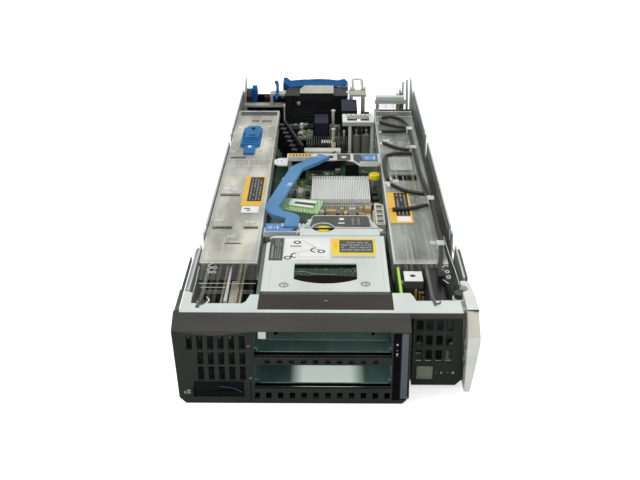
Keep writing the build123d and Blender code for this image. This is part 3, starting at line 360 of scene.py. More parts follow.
def make_finishes():
    """Every finish by name: light and dark colour, roughness, metal, grain, stretch and the rest."""
    galvanised("sheet", (176, 180, 179), (120, 125, 126))
    # pale colour and x limits of the painted highlight on the lower bay floor
    bay_sheet("bay", (134, 164, 158), (92, 122, 117), (224, 230, 222), -17.4, 18.2)
    surface("bay_light", (178, 202, 192), (142, 166, 156), (0.4, 0.5), 0.2, 40)
    # painted highlight on the lips and side edges of the bay floors
    surface("bay_edge_highlight", (190, 212, 206), (150, 172, 166), (0.3, 0.4), 0.4, 90)
    surface("pale_sheet", (224, 231, 225), (208, 216, 210), (0.32, 0.45), 0.25, 40, (1, 0.25, 1), 0.05,
            700, 0.35)
    galvanised("wall", (182, 190, 185), (126, 134, 131), 0.5)
    galvanised("wall_dark", (88, 98, 90), (60, 68, 62), 0.4)
    surface("cast", (230, 234, 225), (212, 217, 207), (0.45, 0.62), 0.08, 60, bump=0.3, pitch=1300,
            edge=0.6)
    surface("bezel", (44, 47, 44), (36, 39, 37), (0.5, 0.64), 0, 70, bump=0.25, pitch=2600, edge=0.4,
            gloss=0.18)
    surface("handle", (41, 45, 41), (34, 38, 35), (0.52, 0.66), 0, 70, bump=0.25, pitch=2600, edge=0.4,
            gloss=0.16)
    surface("recess", (17, 20, 23), (10, 12, 14), (0.42, 0.55), 0, 50, bump=0.1, pitch=2600, edge=0.3,
            gloss=0.08)
    surface("dark_strip", (66, 61, 55), (52, 48, 44), (0.42, 0.55), 0.1, 50, (0.3, 1, 1), 0.12, 900, 0.3,
            0.12)
    surface("lamp_strip", (8, 6, 8), (3, 2, 4), (0.5, 0.6), 0, 50, bump=0.02, gloss=0.05)
    surface("release", (90, 100, 106), (76, 84, 91), (0.3, 0.42), 0.1, 60, (1, 1, 0.2), 0.1, 2000, 0.4,
            0.3)
    surface("button", (116, 127, 113), (100, 111, 99), (0.45, 0.6), 0, 90, bump=0.35, pitch=1500,
            edge=0.3, gloss=0.3)
    surface("steel", (205, 207, 206), (170, 172, 172), (0.22, 0.38), 0.85, 90, (1, 0.2, 1), 0.06, 1200,
            0.15)
    surface("grey_steel", (198, 197, 184), (162, 161, 150), (0.4, 0.55), 0.35, 90, (0.2, 1, 1), 0.1, 1200,
            0.2)
    galvanised("plate_grey", (206, 204, 188), (176, 174, 160), 0.2)
    galvanised("cage_side", (112, 122, 114), (86, 95, 88), 0.3)
    # darker, warmer copy of the cast finish for the cam's sloped top, painted shade
    surface("cast_slope_shade", (214, 211, 198), (192, 189, 176), (0.45, 0.62), 0.08, 60, bump=0.3, pitch=1300,
            edge=0.6)
    # painted highlight colour for the thin strip along the top of the bezel
    surface("bezel_highlight", (110, 112, 114), (96, 97, 100), (0.45, 0.6), 0, 50, (0.4, 1, 1), 0.15, 2600,
            gloss=0.2)
    circuit_board("board", (36, 84, 62), (76, 122, 88), (20, 54, 42))
    circuit_board("bright_board", (112, 170, 72), (158, 204, 104), (70, 128, 46))
    # darkened copy of the board finish for the board under the window, painted shade
    circuit_board("window_board_in_shade", (2, 46, 24), (14, 66, 38), (1, 20, 10))
    surface("riser_edge", (190, 232, 104), (160, 208, 78), (0.35, 0.5), 0, 200)
    # lighter copy of the bezel finish for its top faces, painted sheen
    surface("bezel_top_sheen", (74, 73, 69), (62, 62, 59), (0.5, 0.64), 0, 50, (0.4, 1, 1), 0.25, 2600, 0.4,
            0.16)
    circuit_board("daughter", (96, 132, 102), (140, 166, 134), (66, 100, 76))
    circuit_board("pale_board", (164, 200, 146), (200, 222, 180), (132, 180, 116))
    surface("black", (33, 33, 36), (20, 20, 23), (0.32, 0.48), 0, 90, bump=0.15, pitch=1500, edge=0.25,
            gloss=0.22)
    surface("navy", (38, 41, 58), (28, 31, 45), (0.4, 0.55), 0, 90, bump=0.15, pitch=1500, edge=0.3,
            gloss=0.15)
    surface("pale_plastic", (226, 222, 206), (204, 200, 184), (0.4, 0.52), 0, 110, bump=0.12, pitch=1300,
            edge=0.25)
    surface("cream", (214, 206, 178), (190, 180, 150), (0.4, 0.55), 0, 110, bump=0.12, pitch=1300,
            edge=0.2)
    surface("white_plastic", (240, 241, 238), (222, 224, 222), (0.35, 0.5), 0, 110, pitch=1300, edge=0.2)
    surface("module", (132, 136, 138), (104, 108, 110), (0.4, 0.52), 0.1, 80, bump=0.15, pitch=1300,
            edge=0.3)
    # the noise in the pack's colour is stretched along it to paint a highlight stripe
    surface("pack", (40, 39, 40), (26, 25, 26), (0.22, 0.38), 0, 40, (3, 0.3, 1), 0.12, 900, 0.3, 0.35)
    surface("blue", (36, 122, 180), (18, 94, 156), (0.34, 0.46), 0, 60, bump=0.12, pitch=1500, edge=0.3,
            gloss=0.2)
    surface("cap_blue", (4, 92, 156), (1, 72, 134), (0.45, 0.6), 0, 60, bump=0.15, pitch=1300, edge=0.4,
            gloss=0.06)
    surface("grip_blue", (88, 142, 188), (68, 124, 174), (0.34, 0.48), 0, 50, (1, 0.4, 1), 0.14, 1300,
            0.5, 0.3)
    surface("yellow", (248, 232, 28), (234, 214, 18), (0.3, 0.42), 0, 90, bump=0.12, pitch=1300, edge=0.3)
    surface("fins", (248, 251, 246), (232, 236, 230), (0.3, 0.45), 0.1, 120, (1, 0.15, 1), 0.1, 1200, 0.1)
    surface("dark_fins", (96, 98, 98), (66, 68, 70), (0.3, 0.45), 0.5, 120, (1, 0.15, 1), 0.1, 1200, 0.1)
    surface("can", (178, 176, 168), (146, 144, 138), (0.28, 0.42), 0.55, 90, (1, 1, 0.2), 0.08, 1200, 0.2)
    surface("jacket", (46, 44, 42), (30, 29, 29), (0.32, 0.46), 0, 260, (1, 0.3, 1), 0.5, 1500,
            gloss=0.35)
    surface("tin", (220, 221, 216), (190, 191, 188), (0.2, 0.35), 0.8, 300)
    surface("gold", (206, 176, 96), (176, 144, 66), (0.2, 0.34), 0.8, 300)
    surface("chip", (42, 44, 44), (28, 29, 30), (0.4, 0.55), 0, 300, bump=0.12, pitch=2400, edge=0.1,
            gloss=0.3)
    surface("ceramic", (206, 172, 122), (182, 146, 98), (0.4, 0.55), 0, 400)
    surface("beige", (222, 196, 156), (198, 170, 128), (0.35, 0.5), 0, 200, edge=0.2)
    surface("coil", (74, 80, 80), (54, 59, 60), (0.4, 0.55), 0, 200, bump=0.2, edge=0.3)
    surface("label_yellow", (244, 214, 42), (236, 200, 30), (0.3, 0.4), 0, 60, bump=0.02)
    surface("label_amber", (238, 192, 50), (228, 178, 38), (0.3, 0.4), 0, 60, bump=0.02)
    surface("label_dark", (82, 84, 80), (70, 72, 70), (0.3, 0.42), 0, 60, bump=0.02, gloss=0.2)
    surface("label_black", (48, 42, 40), (36, 32, 32), (0.3, 0.42), 0, 60, bump=0.02, gloss=0.2)
    surface("label_white", (240, 240, 238), (230, 231, 230), (0.3, 0.42), 0, 60, bump=0.02)
    surface("label_blue", (92, 140, 196), (78, 126, 186), (0.3, 0.42), 0, 60, bump=0.02, gloss=0.3)
    surface("ink", (150, 152, 150), (132, 134, 133), (0.4, 0.5), 0, 60, bump=0)
    surface("print_white", (232, 234, 234), (218, 221, 222), (0.4, 0.5), 0, 60, bump=0)
    surface("print_black", (54, 54, 55), (44, 44, 46), (0.4, 0.5), 0, 60, bump=0)
    surface("red", (214, 78, 48), (196, 64, 38), (0.4, 0.5), 0, 60, bump=0)
    surface("lamp", (206, 200, 204), (176, 168, 174), (0.2, 0.3), 0, 200, bump=0, glow=0.06)
    clear_plastic("clear", (216, 220, 214), 0.27)
    clear_plastic("clear_left", (224, 224, 211), 0.5)
    clear_plastic("clear_right", (186, 192, 182), 0.3)
    clear_plastic("clear_thin", (214, 218, 212), 0.1)
    # whiter, more opaque copy of the clear plastic, used as painted highlight on clips, rims, arches,
    # streaks and strands
    clear_plastic("clear_highlight", (236, 238, 236), 0.5, (0.08, 0.14))
    # lighter sheet, painted highlight on the tray's top edges; also used for the light post and a bar
    # face
    surface("wall_edge", (214, 218, 216), (192, 198, 196), (0.3, 0.42), 0.4, 60, (1, 0.2, 1), 0.05, 900)
    surface("dark_olive", (66, 72, 50), (40, 46, 34), (0.4, 0.55), 0, 160, bump=0.2, edge=0.2)
    surface("fin_metal", (146, 158, 150), (104, 118, 112), (0.3, 0.45), 0.5, 60, (1, 1, 0.3), 0.08, 900)
    for name, origin in (("left_sockets", LEFT_SOCKET), ("right_sockets", RIGHT_SOCKET)):
        banded_plastic(name, (150, 142, 118), (44, 44, 42), origin)


NODE_FINISH = {
    "plate_grey": "connector_plate",
    "bay": "drive_cage",
    "wall": "chassis_tray side_plate_left",
    "wall_dark": "side_plate_right",
    "pale_sheet": "front_flange cage_top front_bracket rear_bracket",
    "cast": "handle_cam frame_beam",
    "bezel": "bezel",
    "handle": "handle_cover",
    "recess": "serial_pull_tab",
    "dark_strip": "cage_front_cover",
    "lamp_strip": "led_column",
    "release": "release_button",
    "button": "power_button",
    "steel": "lift_pin screws standoffs rear_bail quarter_turn_posts",
    "grey_steel": "rear_crossbeam",
    "board": "system_board drive_backplane",
    "bright_board": "riser_card",
    "window_board_in_shade": "cage_board",
    "daughter": "mezzanine_board",
    "pale_board": "option_card",
    "black": "drive_connectors mezzanine_connector midplane_connector rear_sockets rear_latch "
             "slanted_card",
    "navy": "cube_connector second_connector",
    "pack": "power_pack",
    "left_sockets": "memory_sockets_left",
    "right_sockets": "memory_sockets_right",
    "pale_plastic": "memory_latches side_connector",
    "white_plastic": "header_strip riser_socket",
    "module": "battery_module",
    "clear_left": "baffle_left",
    "clear_right": "baffle_right",
    "clear_highlight": "cable_clips",
    "blue": "baffle_latch",
    "cap_blue": "connector_cap",
    "grip_blue": "lift_handle",
    "yellow": "quarter_turn_front quarter_turn_rear",
    "fins": "mezzanine_heat_sink",
    "dark_fins": "rear_heat_sink handle_pin",
    "can": "capacitors",
    "jacket": "cable_trunk cable_branches",
}
ROUND_NODES = ("lift_handle", "connector_cap", "capacitors", "cable_trunk", "cable_branches",
               "handle_cam", "rear_bail", "screws", "standoffs", "quarter_turn_front",
               "quarter_turn_rear", "power_pack")


def paint(node, finish, chosen):
    """Another finish on the faces of a CAD node whose middles pass a test."""
    item = nodes[node]
    mesh = item.data
    mesh.materials.append(M[finish])
    index = len(mesh.materials) - 1
    for face in mesh.polygons:
        middle = item.matrix_world @ face.center
        if chosen(middle.x / MM, (middle.y - FRONT) / MM, middle.z / MM):
            face.material_index = index


def dress_nodes():
    for finish, names in NODE_FINISH.items():
        for name in names.split():
            for slot in nodes[name].material_slots:
                slot.material = M[finish]
    socket_top = top_of("riser_socket")
    riser_top = top_of("riser_card")
    header_top = top_of("header_strip")
    cage_left = span("drive_cage")[0][0]
    plate_front = span("connector_plate")[1][0]
    paint("riser_socket", "dark_olive", lambda x, y, z: z < 45.9)
    # the sides of the white socket below its top are painted dark grey, painted shade
    paint("riser_socket", "label_dark", lambda x, y, z: 45.9 <= z < socket_top - 0.6)
    paint("rear_sockets", "pale_sheet", lambda x, y, z: y < 471 and x < 77)
    paint("rear_sockets", "fin_metal", lambda x, y, z: x > 76.3 and y > 492.9)
    paint("power_pack", "black", lambda x, y, z: z > 49.3)
    for guide in ("baffle_left", "baffle_right"):
        paint(guide, "clear_thin", lambda x, y, z: y < 92 and (y < 84 or z < 50.9))
    # the top faces of the bezel get the lighter copy of its finish, painted sheen
    paint("bezel", "bezel_top_sheen", lambda x, y, z: y < 13 and z > 47.5)
    paint("drive_cage", "cage_side", lambda x, y, z: x < cage_left + 0.05 or z > 49.7)
    # the sloped top of the cam gets the darker copy of the cast finish, painted shade
    paint("handle_cam", "cast_slope_shade", lambda x, y, z: y < 18 and z > 43.2)
    paint("connector_plate", "black", lambda x, y, z: y < plate_front + 0.2)
    paint("riser_card", "riser_edge", lambda x, y, z: z > riser_top - 0.2)
    paint("header_strip", "black", lambda x, y, z: z < header_top + 1)
    # the top edges of the tray walls get the lighter sheet, painted highlight
    paint("chassis_tray", "wall_edge", lambda x, y, z: z > 53.5)
    for name in ROUND_NODES:
        nodes[name].data.shade_smooth()
        nodes[name].data.set_sharp_from_angle(angle=math.radians(30))


# Mesh building

class Shape:
    """A mesh in the making, in millimetres from the front plane."""

    def __init__(self):
        self.bm = bmesh.new()

    def block(self, x, y, z, turn=0):
        centre = place((x[0] + x[1]) / 2, (y[0] + y[1]) / 2, (z[0] + z[1]) / 2)
        size = Vector((x[1] - x[0], y[1] - y[0], z[1] - z[0])) * MM
        move = Matrix.Translation(centre) @ Matrix.Rotation(turn, 4, "Z")
        bmesh.ops.create_cube(self.bm, matrix=move @ Matrix.Diagonal((*size, 1)))
        return self

    def rod(self, x, y, z, radius, top=None, sides=20, axis="Z"):
        """A cylinder between two levels along an axis; x, y or z gives the span on that axis."""
        spans = {"X": x, "Y": y, "Z": z}[axis]
        middle = (spans[0] + spans[1]) / 2
        centre = {"X": (middle, y, z), "Y": (x, middle, z), "Z": (x, y, middle)}[axis]
        turn = {"X": Matrix.Rotation(math.pi / 2, 4, "Y"), "Y": Matrix.Rotation(-math.pi / 2, 4, "X"),
                "Z": Matrix.Identity(4)}[axis]
        upper = radius if top is None else top
        bmesh.ops.create_cone(self.bm, cap_ends=True, segments=sides, radius1=radius * MM,
                              radius2=upper * MM, depth=(spans[1] - spans[0]) * MM,
                              matrix=Matrix.Translation(place(*centre)) @ turn)
        return self

    def plate(self, points, z):
        """A flat outline of (x, y) points filled between two levels."""
        face = self.bm.faces.new([self.bm.verts.new(place(x, y, z[0])) for x, y in points])
        grown = bmesh.ops.extrude_face_region(self.bm, geom=[face])["geom"]
        rise = [v for v in grown if isinstance(v, bmesh.types.BMVert)]
        bmesh.ops.translate(self.bm, verts=rise, vec=Vector((0, 0, (z[1] - z[0]) * MM)))
        return self

    def ring(self, x, y, z, outer, inner, sides=28):
        """A flat washer."""
        loops = []
        for radius, level in ((outer, z[0]), (inner, z[0]), (inner, z[1]), (outer, z[1])):
            rim = circle(x, y, radius, sides)
            loops.append([self.bm.verts.new(place(px, py, level)) for px, py in rim])
        for a, b in zip(loops, loops[1:] + loops[:1]):
            for i in range(sides):
                j = (i + 1) % sides
                self.bm.faces.new((a[i], a[j], b[j], b[i]))
        return self

    def sheet_strip(self, profile, x, thickness):
        """A bent strip that follows a (y, z) profile, with a width along x."""
        rows = [[self.bm.verts.new(place(at, y, z)) for at in x] for y, z in profile]
        faces = [self.bm.faces.new((a[0], a[1], b[1], b[0])) for a, b in zip(rows, rows[1:])]
        bmesh.ops.solidify(self.bm, geom=faces, thickness=thickness * MM)
        return self

    def piece(self, name, finish, body="chassis", bevel=0, smooth=False):
        """The finished object, riding on a body."""
        bmesh.ops.recalc_face_normals(self.bm, faces=self.bm.faces[:])
        mesh = bpy.data.meshes.new(name)
        self.bm.to_mesh(mesh)
        self.bm.free()
        mesh.materials.append(M[finish])
        made = bpy.data.objects.new(name, mesh)
        bpy.context.collection.objects.link(made)
        if smooth:
            mesh.shade_smooth()
            mesh.set_sharp_from_angle(angle=math.radians(35))
        if bevel:
            rounding = made.modifiers.new("rounding", "BEVEL")
            rounding.width = bevel * MM
            rounding.segments = 2
            rounding.limit_method = "ANGLE"
        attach(made, body)


def blocks(name, finish, boxes, body="chassis", bevel=0):
    """A piece of boxes, each given by its limits in x, y and z and sometimes a turn."""
    shape = Shape()
    for x0, x1, y0, y1, z0, z1, *turn in boxes:
        shape.block((x0, x1), (y0, y1), (z0, z1), *turn)
    shape.piece(name, finish, body, bevel)


def circle(x, y, radius, sides):
    angles = [2 * math.pi * i / sides for i in range(sides)]
    return [(x + radius * math.cos(a), y + radius * math.sin(a)) for a in angles]


def arch(radius, y):
    """Half a circle of nine points over the front knob."""
    angles = [math.pi * (1 - i / 8) for i in range(9)]
    return [(KNOB_X + radius * math.cos(a), y + radius * math.sin(a)) for a in angles]


def rounded(x, y, corner, steps=4):
    """The outline of a rectangle with rounded corners."""
    points = []
    for cx, cy, start in ((x[1] - corner, y[0] + corner, -90), (x[1] - corner, y[1] - corner, 0),
                          (x[0] + corner, y[1] - corner, 90), (x[0] + corner, y[0] + corner, 180)):
        for i in range(steps + 1):
            a = math.radians(start + 90 * i / steps)
            points.append((cx + corner * math.cos(a), cy + corner * math.sin(a)))
    return points


def sticker(name, finish, x, y, z, body="chassis", corner=0.7):
    """A flat label or plate with rounded corners."""
    corner = min(corner, (x[1] - x[0]) * 0.4, (y[1] - y[0]) * 0.4)
    Shape().plate(rounded(x, y, corner), z).piece(name, finish, body)


def wire(name, points, radius, finish, body="chassis"):
    """A smooth round wire through a NURBS line of control points."""
    data = bpy.data.curves.new(name, "CURVE")
    data.dimensions = "3D"
    data.bevel_depth = radius * MM
    data.bevel_resolution = 4
    data.resolution_u = 8
    data.use_fill_caps = True
    spline = data.splines.new("NURBS")
    spline.points.add(len(points) - 1)
    for point, (x, y, z) in zip(spline.points, points):
        point.co = (*place(x, y, z), 1)
    spline.order_u = 3
    spline.use_endpoint_u = True
    data.materials.append(M[finish])
    made = bpy.data.objects.new(name, data)
    bpy.context.collection.objects.link(made)
    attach(made, body)


def marks(shape, x, y, z, along, rows, seed, fill=0.7):
    """Rows of plain dashes of uneven length, as generic print."""
    rng = random.Random(seed)
    across, length = (x, y) if along == "Y" else (y, x)
    pitch = (across[1] - across[0]) / rows
    for row in range(rows):
        start = across[0] + pitch * (row + 0.5 - fill / 2)
        at = length[0]
        while at < length[1] - 0.6:
            run = min(rng.uniform(0.9, 4.5), length[1] - at)
            if rng.random() < 0.82:
                a, b = (start, start + pitch * fill), (at, at + run)
                shape.block(*((a, b) if along == "Y" else (b, a)), z)
            at += run + rng.uniform(0.5, 1.1)
    return shape


def print_rows(name, finish, *where):
    marks(Shape(), *where).piece(name, finish)


# Front

def front_marks():
    """Plain ticks and dots on the bezel and the handle, and the lamps in their strip."""
    ticks = ((-46.7, -45, 39.3, 39.8), (-46, -44.2, 17.4, 17.9), (-85, -83.8, 6.6, 8.4),
             (-83.3, -81.2, 6.6, 7.6), (-83.3, -81.2, 8, 9.4))
    blocks("bezel_ticks", "ink", [(x0, x1, -0.004, 0.3, z0, z1) for x0, x1, z0, z1 in ticks])
    column_x, column_y, _ = span("led_column")
    middle = (column_x[0] + column_x[1]) / 2
    lamps = Shape()
    for z, radius in ((40.8, 0.62), (37, 0.26), (34.4, 0.55), (33.2, 0.26)):
        lamps.rod(middle, (column_y[0] - 0.08, column_y[0] + 0.4), z, radius, axis="Y")
    lamps.piece("status_lamps", "lamp", smooth=True)
    front = span("handle_cover")[1][0]
    skin = (front - 0.05, front + 0.3)
    icons = Shape().block((65.9, 66.7), skin, (11, 11.3)).block((69.2, 70), skin, (10.4, 12))
    icons.block((72.9, 74.1), skin, (11.1, 11.4)).rod(76.7, skin, 11.2, 0.9, axis="Y", sides=8)
    icons.piece("handle_icons", "ink", "handle")


def vent_louvres():
    """Dark shelves and walls behind the vents and the low slots, which stand in for the shade inside
    them.
    """
    shelves = [(-84, -46.4, 2.3, 13, low - 0.8, low) for low in (36.9, 26.7, 16)]
    for i in range(6):
        wall = -79.6 + VENT_PITCH * i
        shelves.append((wall - 0.4, wall + 0.4, 2.3, 8, 16, 46))
    shelves += [(-42.6, 38, 2.3, 9.6, 2.5, 3.1), (-42.6, 38, 8.8, 9.6, 3.1, 7.6)]
    # near-black shelves and walls as painted shade behind the vents
    blocks("vent_louvres", "recess", shelves, bevel=0.1)
    rng = random.Random(61)
    glints = []
    for low, first in ((36.9, 1), (26.7, 2)):
        for i in range(first, 6):
            for _ in range(5):
                at = -82.1 + VENT_PITCH * i + rng.uniform(0.3, 2.5)
                rise = low + rng.uniform(0.4, 5.4)
                glints.append((at, at + rng.uniform(0.3, 0.9), 12.2, 12.8, rise, rise + 0.5))
                glints.append((at + 0.1, at + 0.4, 12.4, 12.8, low - 0.2, rise))
    blocks("vent_glints", "module", glints)
    # a thin pale strip along the top of the bezel, painted highlight
    gleam = Shape().sheet_strip([(8.8, 54.07), (10, 54.72), (11.1, 55.31)], (-87, 48), 0.05)
    gleam.piece("bezel_gleam", "bezel_highlight")


def front_details():
    """Fold line of the cam, rim of the power button and finger rib of the pull tab."""
    top = top_of("handle_cam")
    blocks("cam_fold", "label_dark", [(83.2, 89.8, 17.2, 17.9, top - 0.7, top + 0.04),
                                      (86.8, 89.9, 16.8, 17.2, top - 0.9, top - 0.2)], "handle", 0.08)
    x, y, z = span("power_button")
    out = (x[0] + 0.5, x[1] - 0.5, y[0] - 0.12, y[0] + 0.4)
    blocks("button_rim", "button", [(*out, z[1] - 1.3, z[1] - 0.6), (*out, z[0] + 0.6, z[0] + 1.3)],
           "power_button", 0.1)
    x, y, z = span("serial_pull_tab")
    wire("tab_rib", [(x[1] - 15, y[0] + 1, z[0] + 6), (x[1] - 9, y[0] + 0.9, z[0] + 5.4),
                     (x[1] - 4.5, y[0] + 0.8, z[0] + 4.2), (x[1] - 1.2, y[0] + 0.7, z[0] + 2)],
         0.22, "release", "serial_pull_tab")


def bay_detail():
    """Spring tabs, a dark plate as painted shade in the front gap, painted highlights along the floor
    edges, and rivets just inside the drive windows.
    """
    x = span("drive_cage")[0]
    left, right = x[0] + 1, x[1] - 1
    upper = BAY_FLOORS[1]
    blocks("bay_tabs", "pale_sheet", [(left + 2.4, left + 7.2, 4, 5, 42, 48.9),
                                      (left + 3.2, left + 6.4, 5, 10, 48, 48.9),
                                      (right - 3.4, right - 1.8, 4, 5, 47, 48.8)], bevel=0.25)
    # Dark plates on the floors are painted shade in the gap behind the bezel and over two slots; pale
    # strips are painted highlights along the lips and sides of the floors.
    gap_shades = []
    edges = []
    for level in BAY_FLOORS:
        gap_shades.append((left + 0.1, right - 0.1, 2.6, 6, level, level + 0.06))
        edges += [(left + 3, right - 1.4, 6, 6.6, level, level + 0.3),
                  (left + 1.3, left + 1.7, 6.6, 90, level + 0.1, level + 2.2),
                  (right - 1.7, right - 1.3, 6.6, 90, level + 0.1, level + 2.2)]
    edges.append((left + 3, right - 1.4, 20, 20.5, upper, upper + 0.2))
    for start, end in ((left + 10.4, left + 12.6), (right - 11, right - 9.2)):
        gap_shades.append((start, end, 26, 30, upper + 0.12, upper + 0.3))
    blocks("bay_gaps", "lamp_strip", gap_shades)
    blocks("bay_lit_edges", "bay_edge_highlight", edges, bevel=0.06)
    blocks("bay_sheet_rear", "bay_light", [(left + 1.8, right - 1.8, 20.5, 70, upper, upper + 0.12)])
    studs = Shape()
    for side in (left + 12, right - 12):
        for level in BAY_FLOORS:
            for depth in (40, 85):
                studs.rod(side, depth, (level, level + 0.7), 2.4, 1.9)
    studs.piece("bay_rivets", "steel", smooth=True)


# Cage top and brackets

def cage_labels():
    top = top_of("cage_top")
    base, ink, print_top = label_levels(top)
    sticker("cage_label_dark", "label_dark", (-38.5, -29.4), (83, 117.5), base)
    text = Shape().block((-37, -35.9), (86, 106), ink)
    marks(text, (-35, -30.6), (86, 115), ink, "Y", 3, 4, 0.42).piece("cage_label_dark_print", "ink")
    sticker("cage_label_white", "label_white", (-28.4, 1.4), (84.5, 117), base)
    signs = Shape()
    for x, y in ((-20.3, 110.7), (-26, 87), (-4, 96.6)):
        signs.ring(x, y, ink, 2.6, 1.45)
    signs.block((-25, -17.4), (104, 105.3), ink)
    for x, y in ((-21.2, 90.4), (-8.2, 98.6)):
        for i in range(7):
            a = math.radians(95 + 28 * i)
            cx, cy = x + 2.6 * math.cos(a), y + 3.2 * math.sin(a)
            signs.block((cx - 0.55, cx + 0.55), (cy - 0.7, cy + 0.7), ink, turn=a)
        signs.rod(x + 1.8, y + 1, ink, 0.5)
    signs.piece("cage_label_signs", "print_black")
    lines = ((-12, 108, 16, -0.9), (-14, 97, 19, 0.35), (-12, 88, 22, 0))
    blocks("cage_label_lines", "ink", [(x - long / 2, x + long / 2, y - 0.18, y + 0.18, *ink, turn)
                                       for x, y, long, turn in lines])
    sticker("cage_label_yellow", "label_yellow", (2.6, 32.4), (91.6, 116.8), base)
    sticker("cage_label_panel", "label_dark", (8, 30.6), (95, 114.5), ink)
    print_rows("cage_label_print", "ink", (9.4, 29.4), (97, 112.4), print_top, "X", 4, 9, 0.5)
    blocks("cage_label_side_bars", "label_amber", [(4, 6.6, 97, 98.2, *ink),
                                                   (4, 6.6, 101, 111, *ink)])
    scale = [3.2 + 0.84 * i for i in range(34)]
    blocks("cage_label_scale", "ink", [(at, at + 0.4, 86.4, 89.9, top, top + PRINT) for at in scale])


def cage_edges():
    """Creases and heads of the cage top, and the folds of the dark strip and the left side; the dark
    strip's folds are painted lighter, as painted highlight.
    """
    x, y, z = span("cage_top")
    top = z[1]
    heads = Shape()
    for hx, hy in ((-27, 48.4), (23.8, 50)):
        heads.ring(hx, hy, (top, top + 0.35), 3, 2.55)
    heads.piece("cage_screw_rims", "sheet", smooth=True)
    blocks("cage_creases", "pale_sheet", [
        (x[1] - 3.2, x[1] - 2.8, y[0] + 2, y[1] - 3, top, top + 0.12),
        (x[0] + 4.6, x[0] + 5, y[0] + 2, y[1] - 44, top, top + 0.12)], bevel=0.04)
    x, y, z = span("cage_front_cover")
    sticker("strip_mark", "ink", (-1.8, 0.2), (28.4, 29.2), (z[1], z[1] + 0.06), corner=0.3)
    # lighter bands on the folds of the dark strip, painted highlight
    blocks("strip_fold_highlight", "label_dark", [
        (x[0] + 1, x[1] - 1, y[1] - start, y[1] - end, z[1], z[1] + 0.1)
        for start, end in ((3.4, 0.4), (4.2, 3.9))], bevel=0.04)
    top = top_of("front_flange")
    rim = Shape().plate([(-90.4, 12.2), (-87.2, 12.2), (-88.4, 26), (-88.6, 41.6), (-90.4, 41.6)],
                        (top - 0.4, top + 0.12))
    rim.plate([(-90.4, 12.2), (-89.4, 12.2), (-89.6, 92), (-90.4, 92)], (49, 52.6))
    rim.piece("side_rim", "wall_dark", bevel=0.1)


def bridge_plate():
    """Pale sheet between the cage top and the front bracket, open round the knob."""
    start = span("cage_top")[1][1] + 0.4
    top = top_of("front_bracket")
    angles = [math.radians(-16 - 148 * i / 12) for i in range(13)]
    arc = [(KNOB_X + 8.2 * math.cos(a), KNOB_Y + 8.2 * math.sin(a)) for a in angles]
    outline = [(-19.2, start), (36, start), (36, 133.3)] + arc + [(-19.2, 133.3)]
    Shape().plate(outline, (top - 1.2, top - 0.2)).piece("bridge_plate", "pale_sheet", bevel=0.1)
    shade = Shape().plate([(-12.6, 133), (7, 133), (5.6, 134.6), (-11.2, 134.6)],
                          (top - 3.4, top - 2.6))
    shade.block((-16, 36), (133.32, 133.5), (top - 1.4, top + 0.06))
    shade.piece("bridge_shade", "label_black")


def window_board_in_shade():
    """Parts on the small board under the arched window, and black plates at its front and rear as painted
    shade.
    """
    x, y, z = span("cage_board")
    deck = 52.7
    parts = []
    legs = []
    rng = random.Random(5)
    for i in range(9):
        cx = x[0] + 5 + 4.3 * i
        cy = 62 + rng.uniform(-3, 7)
        width, length = rng.uniform(1.4, 3), rng.uniform(1, 2.2)
        parts.append((cx, cx + width, cy, cy + length, deck - 0.9, deck - 0.2))
        legs.append((cx - 0.4, cx, cy + 0.2, cy + 0.9, deck - 0.9, deck - 0.4))
    blocks("window_parts", "chip", parts, bevel=0.08)
    blocks("window_pads", "tin", legs)
    level = (z[1] + 0.02, z[1] + 0.14)
    front = max(y[0], 50) + 0.3
    # black plates at the front and rear of the window board, painted shade
    shades = Shape().block((x[0] + 0.4, x[1] - 0.4), (76.5, min(y[1], 88) - 0.3), level)
    shades.plate([(-20, 64.8), (-13, 63.2), (-4, 64.2), (8, 63.4), (20, 62.4), (30, 61),
                  (34, front), (-22, front)], level)
    shades.piece("window_painted_shade", "lamp_strip")
    specks = []
    for i in range(26):
        sx, sy = rng.uniform(8, 31), rng.choice((69.4, 71.6, 74)) + rng.uniform(-0.3, 0.3)
        specks.append((sx, sx + 0.8, sy, sy + 0.5, *level))
    blocks("window_specks", "can", specks)
    trace = ((-21, 68.6), (-15, 70.2), (-10, 66.4), (-2, 65.2), (6, 65.8))
    wire("window_trace", [(tx, ty, level[1]) for tx, ty in trace], 0.14, "can")


